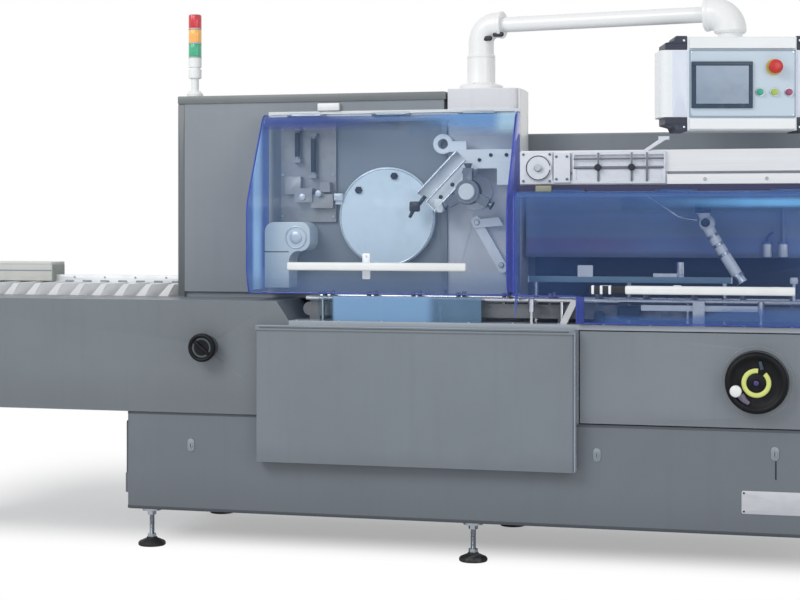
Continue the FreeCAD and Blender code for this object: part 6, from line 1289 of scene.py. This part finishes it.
# %% [markdown]
# ## Infeed
# The bucket chain runs between low rails, in front of a sheet that keeps the product upright. The sheet has
# slots for its clamps, a closed box covers the tail, and the tail shaft's bearings show at the back.
# %% Guide, cover box and shaft ends
COVER_END = -1.459
piece("guide_wall", [block((COVER_END - 0.004, 0.0975, 0.8855), (-0.8475, 0.1245, 0.9545), 0.0012, 0.002, "y")], guide_sheet,
      stands_for=["infeed_guide"])
piece("guide_slots", [block((x, 0.0960, 0.9265), (x + 0.038, 0.0978, 0.9345), 0.0003, 0.004, "y") for x in row(-1.420, -0.900, 8)],
      latch_grey)
piece("guide_screws", [studs([(x, 0.0975, 0.9455) for x in row(-1.380, -0.870, 5)], FRONT, 0.0040, 0.0030)], bolt_metal)
piece("cover_box_body", [block((-1.9495, 0.0600, 0.9310), (COVER_END, 0.1745, 0.9960), 0.0020, 0.004),
                         block((-1.9495, 0.1270, 0.8855), (COVER_END, 0.1745, 0.9330), 0.0010, 0.003)], cover_box_paint,
      stands_for=["infeed_cover"])
piece("cover_box_lid", [block((-1.9495, 0.0580, 0.9950), (COVER_END + 0.001, 0.1750, 1.0045), 0.0025, 0.005)], cover_top_painted_light,
      stands_for=["infeed_cover"])
# Painted shadow: a thin darker line across the cover box's front, below its lid.
piece("cover_box_shadow_line", [block((-1.9490, 0.0588, 0.9690), (COVER_END - 0.002, 0.0603, 0.9740), 0.0003, 0.001, "y")], latch_grey)
# Painted shade: the cover box's end face, turned away from the key light, is painted darker.
piece("cover_box_end", [block((COVER_END - 0.0008, 0.0640, 0.9330), (COVER_END + 0.0012, 0.1715, 0.9935), 0.0003, 0.003, "x")],
      paint("olive_end_shade", rgb(150, 158, 150), rough=0.45))
bearing = together([plate(loop_of(0.090, 0.090, 0.012), 0.009, 0.002),
                    turned([(0.030, 0.008), (0.030, 0.018), (0.026, 0.021), (0.016, 0.021), (0.016, 0.016)], 36)])
corners = [(x, y, 0.009) for x in (-0.034, 0.034) for y in (-0.034, 0.034)]
bearing = together([bearing, copies(screw(0.0055, 0.0045), corners)])
TAIL = (-1.875, 0.817)
piece("tail_bearings", [put(bearing, (TAIL[0], 0.1965, TAIL[1]), BACK)], dark_metal)

# %% [markdown]
# ## Deck and carton chains
# The lug chains are roller chains: side plates with two pins each, at one-inch pitch. There are about
# seventy links on each strand, so a link is a plate of only a few dozen faces, copied along.
# %% Chain links and the painted shade behind them
LINK = 0.0254
link = together([put(plate(loop_of(0.0225, 0.0100, 0.0049, 2), 0.0018, 0.0004, 1), (0, 0, 0), FRONT),
                 put(turned([(0.0024, 0.0015), (0.0022, 0.0030)], 8), (-0.0063, 0, 0), FRONT),
                 put(turned([(0.0024, 0.0015), (0.0022, 0.0030)], 8), (0.0063, 0, 0), FRONT)])
link_x = np.arange(-0.290, 1.505, LINK)
for number, front in enumerate((-0.3130, -0.2290)):
    places = np.column_stack([link_x, np.full(len(link_x), front), np.full(len(link_x), 0.8725)])
    piece("chain_links_" + "fr"[number], [copies(link, places)], chain_metal)
print(2 * len(link_x), "links")
# Painted shade: a dark navy sheet behind the carton chains stands for the shade below the inner guard.
piece("lower_shade_panel", [block((0.4445, 0.0735, 0.8185), (1.5455, 0.0765, 1.0365), 0.0004, 0.002, "y")], painted_shade_lining)
piece("carton_ledge", [block((0.878, -0.3730, 0.8660), (1.262, -0.3640, 0.8850), 0.0015, 0.003, "y")], pale_metal)
piece("rail_wear_strip", [block((0.484, -0.2760, 0.9550), (1.166, -0.2725, 0.9755), 0.0008, 0.004, "y")],
      moulded("wear_plastic", rgb(116, 146, 160), rough=0.42, pebble=600, dust=0.08))
dark_brackets = [block((0.722, -0.3780, 0.8180), (0.756, -0.3640, 0.8640), 0.004, 0.012, "y"),
                 block((0.800, -0.3780, 0.8340), (0.876, -0.3640, 0.8820), 0.004, 0.012, "y")]
piece("dark_brackets", dark_brackets, moulded("bracket_dark", rgb(26, 44, 62), rough=0.5, dust=0.04))
end_knob = [put(turned([(0.0045, 0), (0.0045, 0.060)], 14), (1.372, -0.3475, 0.900)),
            put(turned([(0.0110, 0.058), (0.0130, 0.062), (0.0130, 0.074), (0.0100, 0.079)], 24), (1.372, -0.3475, 0.900))]
piece("rail_end_knob", end_knob, grip_white)
piece("pillar_gasket", [block((0.1500, -0.1612, 0.9200), (0.1716, -0.1585, 1.5380), 0.0006, 0.001, "y")], cabinet_grey[0])
# Painted light: a white enamel plate makes the pillar's right side lighter.
piece("pillar_side_painted_light", [block((0.4252, -0.1520, 0.8300), (0.4285, 0.0215, 1.6280), 0.0010, 0.003, "x")], enamel[0])
piece("deck_screws", [studs([(x, -0.3955, 0.8180) for x in row(-0.310, 1.520, 13)], UP, 0.0050, 0.0030)], bolt_metal)

# %% [markdown]
# ## Rear, ends and top
# The photo shows only the operator's side. The other sides have what such machines have: doors with hinges,
# swing handles and louvres, screwed panels, a fan grille and cable glands. Each panel is a rounded plate a few
# millimetres proud of its wall.
# %% Doors, louvres and handles at the back
def on_back(x0, x1, z0, z1, wall=REAR_WALL, proud=0.0035, corner=0.008):
    """A panel on a rear wall."""
    return block((x0, wall - 0.0008, z0), (x1, wall + proud, z1), 0.0012, corner, "y")


def rim_places(x0, x1, z0, z1, count, wall):
    """Places for screws along the upper and lower edge of a panel."""
    return [(x, wall, z) for x in row(x0 + 0.018, x1 - 0.018, count) for z in (z0 + 0.018, z1 - 0.018)]


DOORS = [(-0.833, -0.350), (-0.334, 0.149)]
piece("cabinet_doors", [on_back(x0, x1, 0.905, 1.575) for x0, x1 in DOORS], cabinet_grey[0])
hinge = together([turned([(0.0065, -0.032), (0.0070, -0.030), (0.0070, -0.001), (0.0062, 0), (0.0070, 0.001), (0.0070, 0.030),
                          (0.0065, 0.032)], 16)])
piece("cabinet_hinges", [copies(hinge, [(x, 0.4795, z) for x in (-0.8385, 0.1545) for z in (1.02, 1.24, 1.46)])], bolt_metal)
handle_x = (-0.372, -0.312)
swing = together([put(plate(loop_of(0.026, 0.130, 0.010), 0.0035, 0.0012), (0, 0, 0), BACK),
                  put(plate(loop_of(0.016, 0.092, 0.007), 0.0066, 0.0022), (0, 0, -0.006), BACK)])
piece("cabinet_handles", [copies(swing, [(x, 0.4798, 1.24) for x in handle_x])], black_plastic)
slat = block((0, 0, 0), (0.300, 0.0062, 0.0110), 0.0045, 0.0045, "y")
piece("cabinet_louvres", [copies(slat, [(x, 0.4790, z) for x in (-0.742, -0.243) for z in 0.955 + 0.018 * np.arange(8)])],
      cabinet_grey[1])

# %% Rear housing, body and base panels
piece("rear_cover", [on_back(0.190, 1.515, 0.860, 1.440)], cabinet_grey[0])
piece("rear_cover_screws", [studs(rim_places(0.190, 1.515, 0.860, 1.440, 8, 0.4803), BACK, 0.0055, 0.0035)], bolt_metal)
FAN = (1.300, 0.4800, 1.150)
grille = [put(hoop(radius, 0.0020, 1, 56, 6), FAN, BACK) for radius in (0.024, 0.042, 0.060, 0.078)]
grille += [put(plate(loop_of(0.0045, 0.165, 0.002), 0.0030, 0.0008), FAN, BACK, (math.cos(a), 0, math.sin(a)))
           for a in np.radians((0, 45, 90, 135))]
piece("fan_grille", grille, bolt_metal)
piece("fan_frame", [put(plate(loop_of(0.196, 0.196, 0.014), 0.0022, 0.0010), FAN, BACK)], dark_metal)
gland = turned([(0.0165, 0), (0.0165, 0.0034), (0.0120, 0.0038), (0.0120, 0.0058), (0.0065, 0.0062), (0.0065, 0.0036)], 20)
piece("cable_glands", [copies(put(gland, (0, 0, 0), BACK), [(x, 0.4805, 0.905) for x in row(0.300, 0.520, 5)])], black_plastic)
BODY_PANELS = [(-0.925, -0.125), (-0.095, 0.705), (0.735, 1.525)]
BASE_PANELS = [(-0.935, -0.125), (-0.095, 0.705), (0.735, 1.515)]
piece("body_rear_panels", [on_back(x0, x1, 0.525, 0.790) for x0, x1 in BODY_PANELS], body_grey[0])
piece("base_rear_panels", [on_back(x0, x1, 0.175, 0.450, BASE_REAR) for x0, x1 in BASE_PANELS], lower_grey[0])
knobs = put(turned([(0.0150, 0), (0.0150, 0.0030), (0.0105, 0.0036), (0.0095, 0.0062), (0.0060, 0.0068)], 24), (0, 0, 0), BACK)
piece("body_rear_latches", [copies(knobs, [(x, 0.4800, 0.760) for x0, x1 in BODY_PANELS for x in (x0 + 0.10, x1 - 0.10)])],
      dark_metal)
piece("base_rear_latches", [copies(knobs, [(x, 0.4700, 0.420) for x0, x1 in BASE_PANELS for x in (x0 + 0.10, x1 - 0.10)])],
      dark_metal)

# %% Ends and top
def on_end(x, y0, y1, z0, z1, proud):
    """A panel on a left or right wall; proud is negative on the left."""
    return block((min(x, x + proud), y0, z0), (max(x, x + proud), y1, z1), 0.0010, 0.008, "x")


piece("end_panels", [on_end(1.5492, 0.000, 0.440, 0.525, 0.790, 0.0045), on_end(1.5492, 0.112, 0.445, 0.870, 1.430, 0.0045)],
      body_grey[0])
piece("end_base_panels", [on_end(1.5492, -0.330, 0.400, 0.185, 0.445, 0.0045), on_end(-0.9715, -0.330, 0.400, 0.185, 0.445, -0.0045)],
      lower_grey[0])
piece("infeed_end_panel", [on_end(-1.9492, -0.370, 0.165, 0.520, 0.850, -0.0045)], infeed_grey[0])
piece("cabinet_side_panel", [on_end(-0.8462, -0.120, 0.440, 0.930, 1.560, -0.0035)], cabinet_grey[0])
end_slat = block((0, 0, 0), (0.0055, 0.220, 0.0110), 0.0040, 0.0045, "x")
piece("end_louvres", [copies(end_slat, [(1.5515, 0.168, z) for z in 0.930 + 0.018 * np.arange(9)])], body_grey[1])
right_screws = [(1.5535, y, z) for y in (0.018, 0.422) for z in (0.543, 0.772)] + [(1.5535, y, z) for y in (0.130, 0.427)
                                                                                for z in (0.888, 1.412)]
left_screws = [(-1.9535, y, z) for y in row(-0.350, 0.145, 4) for z in (0.540, 0.830)] + [(-0.8495, y, z) for y in (-0.10, 0.42)
                                                                                       for z in (0.95, 1.25, 1.54)]
piece("end_screws", [studs(right_screws, RIGHT, 0.0055, 0.0035), studs(left_screws, LEFT, 0.0055, 0.0035)], bolt_metal)
piece("top_cover", [block((0.195, 0.105, 1.4772), (1.515, 0.450, 1.4812), 0.0012, 0.010)], cabinet_grey[0])
piece("top_screws", [studs([(x, y, 1.4795) for x in row(0.215, 1.495, 7) for y in (0.122, 0.433)], UP, 0.0055, 0.0022)],
      bolt_metal)

# %% Discharge belt
belt_joint = block((1.712, -0.3220, 0.8365), (1.716, -0.1040, 0.8378), 0.0003, 0.001)
piece("belt_joint", [belt_joint], dark_metal)
shaft_end = together([put(shape, (0, 0, 0), FRONT) for shape in (
    hexagon(0.0125, 0.0070), turned([(0.0068, 0.006), (0.0068, 0.011), (0.0055, 0.012)], 16))])
piece("outfeed_shaft_ends", [copies(shaft_end, [(x, -0.3425, 0.811) for x in (1.590, 1.910)])], bolt_metal)
piece("outfeed_screws", [studs([(x, -0.3428, 0.745) for x in row(1.575, 1.925, 5)], FRONT, 0.0055, 0.0035)], bolt_metal)
piece("outfeed_slots", [block((x, -0.3440, 0.8065), (x + 0.045, -0.3425, 0.8155), 0.0003, 0.004, "y") for x in (1.615, 1.840)],
      dark_metal)

low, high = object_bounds()
print("visual box", [round(v, 3) for v in low], [round(v, 3) for v in high])
